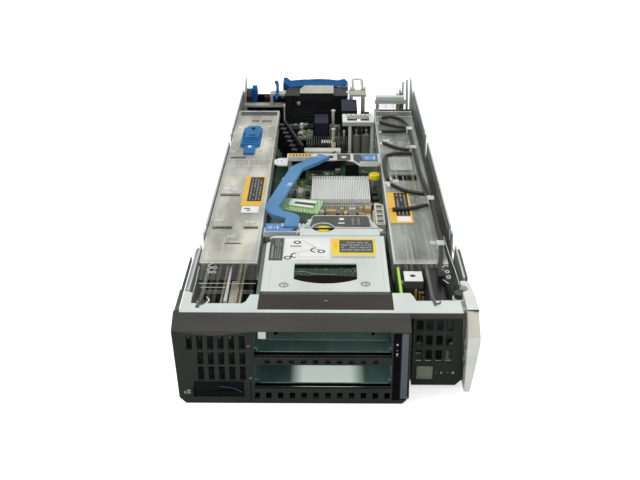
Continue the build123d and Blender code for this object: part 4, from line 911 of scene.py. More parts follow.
def bracket_labels():
    """Blue and grey plates on the two brackets, with plain generic marks."""
    base, ink, _ = label_levels(top_of("front_bracket"))
    blue = [(-43.2, 127.4), (-23.2, 127.4), (-23.2, 132.4), (-32.2, 132.8), (-32.2, 140.6),
            (-43.2, 140.6)]
    Shape().plate(blue, base).piece("front_blue_label", "label_blue")
    signs = ((-41.2, -38.6, 132.4, 133.2), (-41.2, -38.6, 134.6, 135.4), (-37.3, -36.3, 133.4, 134.4),
             (-35.2, -34.4, 131.6, 136.4))
    blocks("front_blue_marks", "print_white", [(*sign, *ink) for sign in signs])
    outline = [(-12.6, KNOB_Y)] + arch(8.4, KNOB_Y) + [(30.2, KNOB_Y), (28.8, 154), (-9.8, 154)]
    Shape().plate(outline, base).piece("front_grey_label", "label_dark")
    ovals = Shape().rod(10, 148.6, ink, 1.9).block((7.6, 12), (140.6, 142.4), ink)
    ovals.piece("front_ovals", "print_white", smooth=True)
    bars = Shape()
    for x in (17, 21):
        marks(bars, (x, x + 1.9), (139, 151), ink, "Y", 2, int(x), 0.6)
    bars.piece("front_bars", "ink")
    base, ink, top_ink = label_levels(top_of("rear_bracket"))
    angles = [2 * math.pi * i / 20 for i in range(20)]
    oval = [(-39.4 + 4.3 * math.cos(a), 273.6 + 6 * math.sin(a)) for a in angles]
    Shape().plate(oval, base).piece("rear_oval_label", "label_white")
    print_rows("rear_oval_marks", "ink", (-42, -36.8), (271, 276.4), ink, "X", 3, 3, 0.45)
    sticker("rear_amber_label", "label_amber", (-33.4, -12.6), (277.6, 292.6), base)
    bars = [(-29.4 + 2.7 * i, -27.9 + 2.7 * i, 279.6, 290.6, *ink) for i in range(6)]
    blocks("rear_amber_bars", "label_dark", bars + [(-31.8, -31, 279.6, 290.6, *ink)])
    sticker("rear_grey_label", "label_dark", (7.8, 19), (277.6, 291.6), base)
    Shape().ring(13.4, 284.2, ink, 2.2, 0.6).piece("rear_grey_oval", "print_white")
    corner = [(27.4, 266.6), (41.6, 266.6), (41.6, 291.6), (21.4, 291.6), (21.4, 277.4)]
    Shape().plate(corner, base).piece("rear_corner_label", "label_dark")
    blue = [(29.6, 276.4), (40.6, 276.4), (40.6, 290.6), (27.4, 290.6)]
    Shape().plate(blue, ink).piece("rear_blue_label", "label_blue")
    signs = ((31.4, 34, 280.6, 281.6), (31.4, 34, 283.6, 284.6), (35.4, 36.4, 282.2, 283.2),
             (38, 39, 279.6, 286))
    blocks("rear_blue_marks", "print_white", [(*sign, *top_ink) for sign in signs])


def bracket_metal():
    """Raised rims, hems and the dark holes of the brackets."""
    top = top_of("front_bracket")
    level = top - 0.04
    rim = [(-13.6, 134.2)] + arch(7.6, 134.2) + [(30.8, 134.2)]
    wire("front_arch_rim", [(x, y, level) for x, y in rim], 0.32, "pale_sheet")
    edge = ((-13.2, 134.6), (-11.2, 150), (-10.6, 155), (-4, 155), (22, 155),
            (29.4, 155), (30, 150), (31.4, 134.6))
    wire("front_panel_rim", [(x, y, level) for x, y in edge], 0.32, "pale_sheet")
    hems = ((-44.4, -21.6, 127.1, 127.7, 4), (-19.4, -14, 133.5, 134.1, 3),
            (4.6, 36.4, 133.5, 134.1, 3), (-33, -5, 277, 277.6, 3),
            (26.2, 43, 265.1, 265.7, 3))
    blocks("bracket_hems", "pale_sheet", [(*hem, top - drop, top + 0.1) for *hem, drop in hems],
           bevel=0.15)
    thin = (top, top + 0.14)
    holes = Shape().rod(-22.8, 129.6, thin, 1.5).block((-17.4, -16.2), (142, 145.4), thin, turn=0.5)
    holes.block((-15.4, -14.2), (142, 145), thin, turn=-0.5)
    holes.block((-16.4, -15.2), (139.6, 143), thin)
    holes.plate([(4.2, 283.2), (6.6, 287.4), (7, 290.4), (5.4, 289.6), (3.6, 285.6)],
                (top, top + 0.16))
    holes.piece("bracket_holes", "black")


# Boards

CHIP_SIZES = ((3.9, 4.9), (3.9, 8.6), (7, 7), (5.3, 10.2), (10, 10))
SMALL_SIZES = ((1.7, 0.9, 0.7), (2.2, 1.3, 0.9), (3.3, 1.7, 1.2), (1.1, 0.6, 0.5))


class Board:
    """Places small parts on a board, clear of what already stands there."""

    def __init__(self, level, seed, *standing):
        self.level = level
        self.rng = random.Random(seed)
        self.taken = []
        self.shapes = {}
        for node in standing:
            self.keep_out(*span(node)[:2])

    def keep_out(self, x, y):
        self.taken.append((x[0] - 0.3, x[1] + 0.3, y[0] - 0.3, y[1] + 0.3))

    def stand(self, name, finish, bevel, parts):
        """A piece of larger parts at chosen places, each with its limits in x and y and its height."""
        blocks(name, finish, [(*part[:4], self.level, self.level + part[4]) for part in parts],
               bevel=bevel)
        for x0, x1, y0, y1, _ in parts:
            self.keep_out((x0, x1), (y0, y1))

    def shape(self, finish):
        return self.shapes.setdefault(finish, Shape())

    def room(self, area, width, length):
        """A free corner for a part of this size inside an area, or None."""
        (x0, x1), (y0, y1) = area
        if x1 - x0 <= width or y1 - y0 <= length:
            return None
        for _ in range(40):
            x = self.rng.uniform(x0, x1 - width)
            y = self.rng.uniform(y0, y1 - length)
            if all(x + width < a or x > b or y + length < c or y > d for a, b, c, d in self.taken):
                self.keep_out((x, x + width), (y, y + length))
                return x, y
        return None

    def chip(self, area, width, length, leads):
        found = self.room(area, width + 1.6, length + 1.6)
        if found is None:
            return
        x, y = found[0] + 0.8, found[1] + 0.8
        z = self.level
        top = z + 1.3
        self.shape("chip").block((x, x + width), (y, y + length), (z + 0.1, top))
        legs = self.shape("tin").rod(x + 0.9, y + length - 0.9, (top, top + 0.03), 0.35, sides=10)
        size = length if leads == "X" else width
        count = int(size / 0.9)
        for i in range(count):
            at = (i + 0.5) * size / count
            if leads == "X":
                for a in ((x - 0.7, x), (x + width, x + width + 0.7)):
                    legs.block(a, (y + at - 0.18, y + at + 0.18), (z, z + 0.35))
            else:
                for b in ((y - 0.7, y), (y + length, y + length + 0.7)):
                    legs.block((x + at - 0.18, x + at + 0.18), b, (z, z + 0.35))

    def small(self, area, finish, width, length, height):
        """A two-ended part with tinned ends."""
        found = self.room(area, width + 0.5, length + 0.5)
        if found is None:
            return
        x, y = found
        z = self.level
        self.shape(finish).block((x + width * 0.22, x + width * 0.78), (y, y + length), (z, z + height))
        for end in ((x, x + width * 0.22), (x + width * 0.78, x + width)):
            self.shape("tin").block(end, (y, y + length), (z, z + height * 1.02))

    def can(self, area, radius, height):
        found = self.room(area, radius * 2.2, radius * 2.2)
        if found is None:
            return
        x, y = found[0] + radius * 1.1, found[1] + radius * 1.1
        z = self.level
        top = z + height
        self.shape("chip").block((x - radius, x + radius), (y - radius, y + radius), (z, z + 0.9))
        self.shape("can").rod(x, y, (z + 0.9, top - 0.4), radius * 0.94, sides=24)
        self.shape("can").rod(x, y, (top - 0.4, top), radius * 0.94, radius * 0.84, sides=24)
        stripe = (y + radius * 0.3, y + radius * 0.62)
        self.shape("print_black").block((x - radius * 0.7, x + radius * 0.7), stripe, (top, top + 0.04))

    def coil(self, area, size, height):
        found = self.room(area, size + 0.6, size + 0.6)
        if found is None:
            return
        x, y = found
        z = self.level
        top = z + height
        self.shape("coil").block((x, x + size), (y, y + size), (z, top))
        self.shape("coil").block((x + 0.6, x + size - 0.6), (y + 0.6, y + size - 0.6), (top, top + 0.25))
        for end in ((y - 0.25, y), (y + size, y + size + 0.25)):
            self.shape("tin").block((x + size * 0.35, x + size * 0.65), end, (z, z + height * 0.5))

    def scatter(self, x, y, chips, smalls, cans, coils):
        """A believable mix of parts over an area."""
        area = (x, y)
        rng = self.rng
        for _ in range(coils):
            self.coil(area, rng.choice((5, 6.4, 7.2)), rng.choice((3.4, 4.2)))
        for _ in range(cans):
            self.can(area, rng.choice((2, 2.6, 3.1)), rng.choice((4.6, 5.6)))
        for _ in range(chips):
            width, length = rng.choice(CHIP_SIZES)
            if rng.random() < 0.5:
                self.chip(area, width, length, "X")
            else:
                self.chip(area, length, width, "Y")
        for _ in range(smalls):
            finish = rng.choice(("ceramic", "ceramic", "chip", "beige"))
            self.small(area, finish, *rng.choice(SMALL_SIZES))

    def pieces(self, name):
        bevels = {"chip": 0.08, "coil": 0.25, "beige": 0.1, "ceramic": 0.05}
        for finish, shape in sorted(self.shapes.items()):
            shape.piece(f"{name}_{finish}", finish, bevel=bevels.get(finish, 0))


def daughter_board():
    """Parts on the board between the brackets, the tall ones where the photograph has them."""
    top = top_of("mezzanine_board")
    board = Board(top, 11, "mezzanine_heat_sink", "battery_module", "side_connector")
    board.keep_out((-37, -3), (178, 211))
    board.keep_out((33, 44), (250, 264))
    board.stand("daughter_coils", "coil", 0.6, [(19.4, 26.8, 190, 197.4, 5.6),
                                                (11.4, 17.6, 191, 197.2, 4.6), (3.6, 9.6, 176, 182, 4)])
    board.stand("daughter_capacitors", "beige", 0.3, [
        (1.6, 8.2, 198, 201.4, 3.2), (29.6, 33, 190, 198.4, 6.2), (24, 30.4, 204.4, 207.4, 3.4),
        (12.6, 15.2, 203.4, 208, 4.4), (8.6, 11, 182.6, 188, 3.6)])
    board.stand("daughter_pale_parts", "pale_plastic", 0.2, [
        (-18.6, -9, 165, 175, 2.2), (-25.6, -14.4, 213, 219, 3),
        (-24, -20, 246, 256, 4.2), (-8.4, -3, 204, 209.6, 5),
        (16.4, 22, 206.8, 210.6, 6.4)])
    board.stand("daughter_tan_parts", "beige", 0.25, [
        (-1, 6.4, 205.6, 210.4, 5.2), (29, 33.4, 204.6, 210.6, 8),
        (9.6, 12, 207.2, 210.2, 6.6), (24.4, 27.4, 207.8, 210.6, 7)])
    relays = ((35.4, 214), (35.4, 226), (35, 238))
    blocks("daughter_dark_blocks", "chip", [(x, x + 5.4, y, y + 7, top, top + 7) for x, y in relays],
           bevel=0.4)
    board.keep_out((35, 41), (214, 246))
    for x, y, *counts in (((-2, 33), (160, 209), 7, 150, 2, 0),
                          ((-42, -13), (211, 262), 5, 110, 2, 1),
                          ((-42, -2), (159, 178), 3, 60, 0, 0),
                          ((-12, 33), (259, 262), 0, 30, 0, 0)):
        board.scatter(x, y, *counts)
    board.pieces("daughter")


def heat_sink_detail():
    """The clip frame round the heat sink, and pale plates low between its fins that paint light into the
    shade there.
    """
    x, y, z = span("mezzanine_heat_sink")
    clips = [(x[0] - 1.6, x[0] - 0.3, y[0] + 4, y[1] - 4, z[0], z[0] + 3),
             (x[1] + 0.3, x[1] + 1.4, y[0] + 4, y[1] - 10, z[0], z[0] + 3)]
    for left in (x[0] - 3.4, x[1] + 0.4):
        clips.append((left, left + 3, y[0] + 10, y[0] + 14, z[0], z[0] + 4.4))
    blocks("heat_sink_clip", "steel", clips, bevel=0.2)
    # pale plates in the fin gaps, painted light
    blocks("heat_sink_painted_light", "fins", [(x[0] + 0.4, x[1] - 0.4, y[0] + 0.5, y[1] - 0.5, z[1] - drop,
                                       z[1] - drop + 0.8) for drop in (3.4, 6)])


def option_card_detail():
    """Metal shield frame, dark window and edge parts of the small card."""
    level = 47.2
    shield = Shape()
    for points in ([(-29.6, 192.9), (-10.9, 187.1), (-10.3, 190.2), (-28.9, 195.9)],
                   [(-28, 200.4), (-8.7, 195.4), (-8.2, 199.2), (-27.4, 203.9)],
                   [(-29.4, 195.2), (-25.6, 194.2), (-24.4, 199.8), (-28.2, 200.9)]):
        shield.plate(points, (level, level + 0.5))
    shield.piece("shield_frame", "fins", bevel=0.15)
    window = [(-25.4, 195), (-10, 190.6), (-9, 195.2), (-24.2, 199.4)]
    Shape().plate(window, (level, level + 0.25)).piece("shield_window", "label_dark")
    parts = [(-33.4 + 3.6 * i, 189 - 0.95 * i) for i in range(7)]
    blocks("card_edge_parts", "beige", [(x, x + 1.2, y, y + 1.2, 46.2, 46.9, -0.28) for x, y in parts],
           bevel=0.1)


def module_detail():
    """Clip and foot of the grey module, and contacts in the pale stacked connector."""
    x, y, z = span("battery_module")
    blocks("module_clip", "label_white", [
        (x[0] + 2, x[0] + 4.4, y[0] + 1.5, y[1] - 1.5, z[1] - 1, z[1] + 0.4),
        (x[0] + 1.6, x[0] + 4.8, y[0] + 1, y[0] + 2.2, z[1] - 2, z[1] + 0.6)], bevel=0.3)
    blocks("module_foot", "black", [
        (x[0] + 0.6, x[1] - 0.6, y[0] - 2, y[0] + 0.1, z[0], z[0] + 9),
        (x[0] + 1.6, x[1] - 1.6, y[0] - 2.6, y[0] - 1.8, z[0], z[0] + 4)], bevel=0.4)
    x, y, z = span("side_connector")
    starts = [y[0] + 3 + 3 * i for i in range(12)]
    blocks("side_contacts", "module", [(x[0] + 1.8, x[1] - 1.6, at, at + 1.2, z[1] - 3, z[1] + 0.15)
                                       for at in starts], bevel=0.1)


def main_board():
    board = Board(top_of("system_board"), 23, "rear_heat_sink", "header_strip", "cube_connector",
                  "slanted_card", "capacitors", "midplane_connector", "second_connector",
                  "rear_sockets", "power_pack", "riser_card", "riser_socket", "frame_beam",
                  "memory_sockets_left", "memory_sockets_right")
    for x, y, reach in ((-50, 490, 3), (-30, 318, 3), (30, 330, 3), (66, 98, 3), (-30, 184, 3),
                        (20, 184, 3), (-32, 292.5, 4), (41, 292.5, 4), (23, 480, 4)):
        board.keep_out((x - reach, x + reach), (y - 3, y + 3))
    for x, y, *counts in (((-40, 41), (296, 364), 12, 220, 6, 4),
                          ((-22, 12), (377, 378), 0, 4, 0, 0),
                          ((-45, 13), (404, 461), 6, 120, 4, 2),
                          ((14, 46), (403, 462), 3, 60, 2, 1),
                          ((-44, 44), (126, 156), 4, 70, 2, 2),
                          ((-82, -46), (402, 505), 5, 90, 4, 3),
                          ((41, 82), (402, 460), 4, 70, 3, 2),
                          ((42, 62), (40, 104), 2, 40, 2, 1)):
        board.scatter(x, y, *counts)
    board.pieces("main")


def board_towers():
    """Taller parts behind the rear bracket: posts, dark blocks and pale headers."""
    top = top_of("system_board")
    posts = Shape()
    for x, y, radius, level in ((5.2, 392, 1.5, 40), (5.2, 430, 1.5, 46), (-28.5, 300, 1.8, 33)):
        posts.rod(x, y, (top, level), radius)
        posts.rod(x, y, (level, level + 1), radius * 1.5, radius * 1.2)
    posts.piece("board_posts", "pale_plastic", smooth=True)
    blocks("board_rails", "cream", [(3.2, 7.2, 377.4, 378.2, top + 8, 32),
                                    (14.4, 16.4, 405, 408, top, 34)], bevel=0.3)
    towers = ((-38, 300, 9, 14, 22), (16, 352, 12, 8, 20), (30, 304, 9, 9, 18),
              (-36.5, 424, 8, 10, 30), (-24, 440, 10, 9, 26), (30, 424, 9, 12, 30),
              (33, 446, 8, 8, 38))
    blocks("board_blocks", "black", [(x, x + width, y, y + length, top, level)
                                     for x, y, width, length, level in towers], bevel=0.5)


def rear_small_board():
    """Small raised boards between the slanted card and the rear housing."""
    deck = 22.8
    y = (415, 459.6)
    for name, x, seed in (("rear_board_left", (-38.4, -14.6), 72), ("rear_board_right", (1.6, 12.2), 73)):
        Shape().plate(rounded(x, y, 1), (deck - 1.4, deck)).piece(name, "daughter")
        posts = Shape()
        for px in (x[0] + 2, x[1] - 2):
            for py in (y[0] + 3, y[1] - 3):
                posts.rod(px, py, (8.6, deck - 1.4), 1.1, 0.9)
        posts.piece(f"{name}_posts", "tin", smooth=True)
        parts = Board(deck, seed)
        parts.scatter(x, (y[0] + 1, y[1] - 1), 2, 46, 1, 1)
        parts.pieces(name)
    blocks("rear_board_plugs", "white_plastic", [(-27.6, -20, 446, 449.6, deck, deck + 4.6),
                                                 (-30, -24, 424, 426.6, deck, deck + 3.4),
                                                 (4, 9, 440, 443, deck, deck + 4)], bevel=0.3)


def rear_flank():
    """Inserts in the two block connectors, and housing parts behind the left guide."""
    top = top_of("cube_connector")
    _, depth, rise = span("second_connector")
    inserts = Shape().plate(rounded((-9.7, -2.7), (409.1, 430.9), 0.6), (top - 1, top - 0.1))
    inserts.plate(rounded((16.1, 25.3), (depth[0] + 4.1, depth[1] - 4.1), 0.6),
                  (rise[1] - 1, rise[1] - 0.1))
    inserts.piece("connector_inserts", "navy")
    flank = Shape()
    for x, y, corner, z in (((-48, -30.6), (482, 499), 1.2, (9, 43)),
                            ((-80, -31), (504.6, 507.4), 0.8, (3, 40)),
                            ((-46, -31), (470, 478), 1, (9, 36))):
        flank.plate(rounded(x, y, corner), z)
    flank.piece("rear_flank", "black", bevel=0.4)
    blocks("rear_light_post", "wall_edge", [(-43.6, -42.4, 447, 449, 8, 47),
                                            (-44.4, -42, 446.4, 449.6, 45, 46.4)], bevel=0.3)


def slanted_ribs():
    """The row of dark modules that lean along the slanted card."""
    steps = 7
    ribs = []
    gleams = []
    for i in range(steps):
        t = (i + 0.5) / steps
        x, y, top = -43 + 17 * t, 410 - 64 * t, 41 - 6 * t
        ribs.append((x - 5.4, x + 1.2, y - 3.2, y + 3.2, 16, top, -0.26))
        gleams.append((x - 4.6, x + 0.4, y - 2.4, y - 1.6, top, top + 0.1, -0.26))
    blocks("slanted_modules", "black", ribs, bevel=0.5)
    blocks("slanted_gleams", "module", gleams)


def header_detail():
    """Pale cap over the header strip, with a fine groove, and bars on the low heat sink."""
    x, y, z = span("header_strip")
    cap = Shape().plate(rounded((x[0] + 0.2, x[1] - 0.2), (y[0] + 0.4, y[1] - 0.4), 0.5),
                        (z[1], z[1] + 3))
    cap.block((x[0] + 1, x[1] - 1), (y[0] + 0.1, y[0] + 0.6), (z[1] + 0.6, z[1] + 2.4))
    cap.piece("header_cap", "pale_plastic", bevel=0.2)
    x, y, z = span("rear_heat_sink")
    starts = [(x[0] + x[1]) / 2 - 5 + 2.2 * i for i in range(5)]
    blocks("sink_light_bars", "pale_plastic", [(at, at + 1.3, y[0] + 4, y[1] - 12, z[1], z[1] + 0.1)
                                               for at in starts])


def memory_detail():
    """Contact rows along every socket and the keys in their middles."""
    contacts = []
    keys = []
    for first, step, starts in ((LEFT_SOCKET, SOCKET_PITCH, (50, 258)),
                                (RIGHT_SOCKET, -SOCKET_PITCH, (106, 258))):
        for y in starts:
            for x in [first + step * i for i in range(4)]:
                for side in (-1.45, 1.2):
                    contacts.append((x + side, x + side + 0.25, y + 9, y + 133, 16.2, 16.45))
                keys.append((x - 0.8, x + 0.8, y + 74, y + 76.4, 12, 16.4))
    blocks("socket_contacts", "gold", contacts)
    blocks("socket_keys", "chip", keys)


def left_front_rails():
    """Pale runners that show between the left guide and the flange."""
    blocks("left_runners", "cream", [(-60.6, -58.9, 56, 128, 24, 31),
                                     (-57.6, -56.4, 56, 128, 24, 30),
                                     (-70.4, -69.2, 56, 128, 22, 28)], bevel=0.2)
    blocks("left_carrier", "pale_plastic", [(-64.8, -60.8, 62, 104, 25.9, 28.6),
                                            (-58.7, -57.8, 62, 104, 25.9, 28.6)], bevel=0.2)
    blocks("left_dark_walls", "black", [(-50.2, -48.8, 44, 126, 12, 34),
                                        (-67.6, -66.6, 52, 128, 18, 26)], bevel=0.2)


# Clear guides

def guide_rims():
    """Rims, bands and ribs of the two clear guides."""
    top = GUIDE_TOP
    left, right = (-84, -46), (43.4, 79.1)
    bands = [(*x, 85.6, 90.2, top, top + 0.4) for x in (left, right)]
    bands += [(*x, 90.2, 395, top, top + 0.35) for x in ((-83.8, -81.4), (-48.6, -46.2), (43.6, 45))]
    blocks("guide_bands", "clear", bands, bevel=0.1)
    ribs = []
    for x in (left, right):
        for start, end, height in ((84.6, 85.6, 0.5), (409.6, 410.6, 0.7), (395.2, 396, 0.5)):
            ribs.append((*x, start, end, top, top + height))
    ribs += [(x, x + 0.8, 86, 409, top, top + 0.6) for x in (-84, -46.8, 43.4)]
    ribs += [(-83, -47, y, y + 0.5, top, top + 0.4) for y in (246.4, 250, 263.6, 278)]
    ribs += [(-81, -45, 57.6, 58, 50.4, 50.8), (-81, -64, 60.6, 61, 46, 46.4)]
    blocks("guide_rims", "clear_highlight", ribs, bevel=0.15)
    wall = [(-64.2, 41.5), (-62.2, 41.5), (-62.8, 89), (-63.8, 89)]
    Shape().plate(wall, (44.6, 47)).piece("guide_inner_wall", "clear_highlight", bevel=0.15)


def guide_gloss():
    """Streaks of light and of what lies below, and the raised field of the right guide."""
    top = GUIDE_TOP
    rng = random.Random(40)
    streaks = []
    for x0, x1, count in ((-82, -48, 26), (46, 70, 18)):
        for _ in range(count):
            at, start = rng.uniform(x0, x1), rng.uniform(96, 340)
            streaks.append((at, at + rng.uniform(0.15, 0.4), start, start + rng.uniform(12, 46),
                            top - 1.6, top - 1.5))
    blocks("guide_streaks", "clear_highlight", streaks)
    tan = ((-60.4, -58.9, 92, 137), (-57.6, -56.2, 92, 132), (-72, -70.6, 96, 130),
           (53, 54, 88, 134), (56.4, 57.4, 90, 128), (-77, -75.8, 210, 246),
           (-66, -64.8, 252, 282), (-71, -69.8, 300, 356))
    blocks("guide_tan_streaks", "cream", [(*area, top - 1.7, top - 1.5) for area in tan])
    gleam = Shape().plate(rounded((50.6, 68.4), (251.6, 280.4), 2.8), (top + 1.82, top + 1.9))
    gleam.plate(rounded((49.8, 69.2), (282.6, 286), 0.8), (top + 0.02, top + 0.1))
    gleam.piece("raised_gleam", "clear")
    bases = Shape()
    for x, y in ((46.6, 374.6), (46.8, 349.4), (46.8, 318.4), (46.6, 226.6), (47.6, 221.4)):
        bases.plate(rounded((x - 1.6, x + 1.8), (y - 1.8, y + 2.4), 0.7), (top + 0.02, top + 0.7))
    bases.piece("branch_bases", "clear_highlight", bevel=0.2)


def guide_arches():
    """Small moulded arches on both guides, and the rim of the finger hole."""
    angles = [math.pi * i / 6 for i in range(7)]
    arches = Shape()
    for x, y, width in ((-77, 213.6, 5), (-71, 211.8, 4.4), (-77.4, 152.6, 6.4), (-55, 149.6, 7),
                        (-66, 125, 6), (-80.4, 296.4, 4.6), (-78.6, 362, 4.6), (-53, 364, 4.2),
                        (-50.4, 330, 3.6), (48.6, 234.6, 4), (53.4, 230.2, 4.6), (73.4, 184.4, 4),
                        (50.8, 326, 5.4), (70.6, 365.6, 3.6), (69, 309.6, 4.2), (71.6, 116, 4)):
        profile = [(y - 2.4 * math.cos(a), GUIDE_TOP + 0.25 + 1.5 * math.sin(a)) for a in angles]
        arches.sheet_strip(profile, (x - width / 2, x + width / 2), 0.5)
    arches.piece("guide_arches", "clear_highlight", smooth=True)
    angles = [math.pi * i / 10 for i in range(11)]
    wire("finger_rim", [(-64.4 + 4.8 * math.cos(a), 113 - 3.4 * math.sin(a), GUIDE_TOP + 0.3)
                        for a in angles], 0.35, "clear_highlight")


def guide_slots():
    """Dark slots of the guides with their edges, and the dashes that show in them."""
    top = GUIDE_TOP
    edges = [(-70, -59, 114.4, 115.6, top, top + 0.3)]
    dark = []
    for x0, x1, edge, start, end in (
            (-81.5, -66.5, 200.2, 201, 205.5), (-81.2, -67.2, 139.8, 140.5, 145),
            (-59.4, -49, 139.8, 140.5, 145), (-81, -68.5, 283.4, 284, 287),
            (-70, -63.5, 380.4, 381, 385), (-60.5, -52, 380.4, 381, 385)):
        edges.append((x0, x1, edge, edge + 0.7, top - 1, top + 0.35))
        dark.append((x0, x1, start, end, 48.4, 48.8))
    blocks("slot_edges", "print_black", edges, bevel=0.08)
    dark.append((-82, -47.8, 397.6, 408.2, top, top + 0.2))
    for i in range(19):
        at = 45.6 + 1.7 * i
        dark.append((at, at + 0.9, 398, 408.4, top, top + 0.2))
    # dark plates under the guides, painted shadow
    for area in ((44.8, 50.4, 136.5, 143), (52.4, 60, 138.5, 143.5), (66.4, 69.6, 108, 113)):
        dark.append((*area, 47.6, 48))
    blocks("slot_shades", "label_black", dark)
    dashes = []
    rng = random.Random(12)
    for i in range(28):
        at, start = -81.4 + 1.2 * i, rng.uniform(398.2, 403)
        dashes.append((at, at + 0.5, start, start + rng.uniform(2, 4.6), top + 0.2, top + 0.3))
    for x0, x1, y in ((-81, -67, 201.6), (-80.8, -67.6, 141.6), (-59, -49.4, 141.6)):
        for i in range(int((x1 - x0) / 3.2)):
            at = x0 + 3.2 * i + rng.uniform(0.2, 1.4)
            dashes.append((at, at + 0.9, y, y + 2.2, 48.8, 49))
    blocks("slot_dashes", "module", dashes)


def guide_labels():
    base, ink, print_top = label_levels(GUIDE_TOP)
    sticker("left_label", "label_amber", (-64.6, -48.8), (181, 240.4), base)
    sticker("left_label_panel", "label_black", (-60.6, -50), (189.6, 238.6), ink)
    print_rows("left_label_print", "ink", (-59.8, -50.8), (192, 236), print_top, "Y", 4, 21, 0.4)
    sticker("left_white_label", "label_white", (-63.4, -50.6), (168, 180), base)
    print_rows("left_white_print", "print_black", (-61.6, -56.6), (170.4, 177.6), ink, "X", 2, 8, 0.5)
    sticker("right_label", "label_amber", (45, 61.6), (150.4, 208), base)
    sticker("right_label_panel", "label_black", (50.2, 60.2), (163, 207), ink)
    sticker("right_label_field", "label_white", (50.2, 60.2), (153, 161.6), ink)
    print_rows("right_label_print", "ink", (51, 59.4), (165, 205), print_top, "Y", 3, 31, 0.4)
    sticker("right_label_tick", "red", (45.2, 50), (175.2, 176.8), ink)


def clear_hooks():
    """Curled ends and loose edges of the guides' front arms, over the flange."""
    deck = top_of("front_flange")
    for name, start, bends in (
            ("right_hook", (63.4, 32), ((63.6, 27), (65, 24), (67.6, 24.6), (67.8, 27))),
            ("left_hook", (-77, 30), ((-77.6, 26), (-76, 22.4), (-73.8, 23.4), (-74, 27)))):
        wire(name, [(*start, deck + 0.4)] + [(x, y, deck + 0.45) for x, y in bends], 0.42, "label_dark")
    for name, count, sides, x, y, z, wide, step, long, rise in (
            ("right_scroll", 26, 9, 75.4, 77.5, 53.4, 2.6, 0.85, 2.4, 0.7),
            ("left_scroll", 20, 8, -74.2, 82, 52.8, 3.2, 0.8, 2.2, 0.6)):
        curl = []
        for i in range(count):
            a = 2 * math.pi * i / sides
            curl.append((x + wide * math.cos(a), y - step * i + long * math.sin(a),
                         z + rise * math.sin(2 * a)))
        wire(name, curl, 0.3, "clear_highlight")
    for name, radius, points in (
            ("right_strand", 0.45, [(65, 29.6, 53.4), (70, 28.6, 54.7), (77, 28.8, 54.2),
                                    (82.2, 32, 53)]),
            ("right_film_edge", 0.3, [(83.4, 60, 49.4), (83, 74, 50.8), (81, 98, 51.6),
                                      (80.4, 128, 51.4)]),
            ("left_plume", 0.5, [(-73.4, 36, 52.4), (-71.8, 30.6, 54.6), (-70.6, 27, 54.8),
                                 (-72.6, 24, 54.7)]),
            ("left_film_edge", 0.3, [(-83.6, 42, 49), (-82.8, 62, 51), (-83.4, 80, 51.4)])):
        wire(name, points, radius, "clear_highlight")


def touch_details():
    """Arrow and grip ribs of the latch, marks of the lift handle and rims of the yellow knobs."""
    x, y, z = span("baffle_latch")
    middle = (x[0] + x[1]) / 2
    rise = (z[1] - 0.9, z[1] - 0.2)
    arrow = Shape().plate([(middle - 2.6, y[1] - 11), (middle + 2.6, y[1] - 11),
                           (middle, y[1] - 5)], rise)
    arrow.block((middle - 0.9, middle + 0.9), (y[1] - 17, y[1] - 11), rise)
    arrow.piece("latch_arrow", "cap_blue", "baffle_latch", bevel=0.15)
    ribs = []
    for side in (x[0] + 0.4, x[1] - 2):
        for i in range(8):
            at = y[0] + 22 + 4 * i
            ribs.append((side, side + 1.6, at, at + 1.6, z[0] + 4, z[1] - 0.1))
    blocks("latch_side_ribs", "blue", ribs, "baffle_latch", 0.15)
    sticker("latch_light_mark", "label_white", (middle - 1.4, middle + 1.4), (y[0] + 12, y[0] + 16),
            (z[0] + 4.5, z[0] + 5.4), "baffle_latch")
    top = top_of("lift_handle")
    blocks("grip_marks", "print_white", [(-31.4, -27.4, 213, 214.4, top, top + 0.06, 0.2),
                                         (-30.6, -27, 216.4, 217.8, top, top + 0.06, 0.2)],
           "lift_handle")
    for node in ("quarter_turn_front", "quarter_turn_rear"):
        x, y, z = span(node)
        ring = Shape().ring((x[0] + x[1]) / 2, (y[0] + y[1]) / 2, (z[1] - 0.1, z[1] + 0.15), 3.2, 2.6)
        ring.piece(f"{node}_ring", "label_amber", node, smooth=True)


# Rear

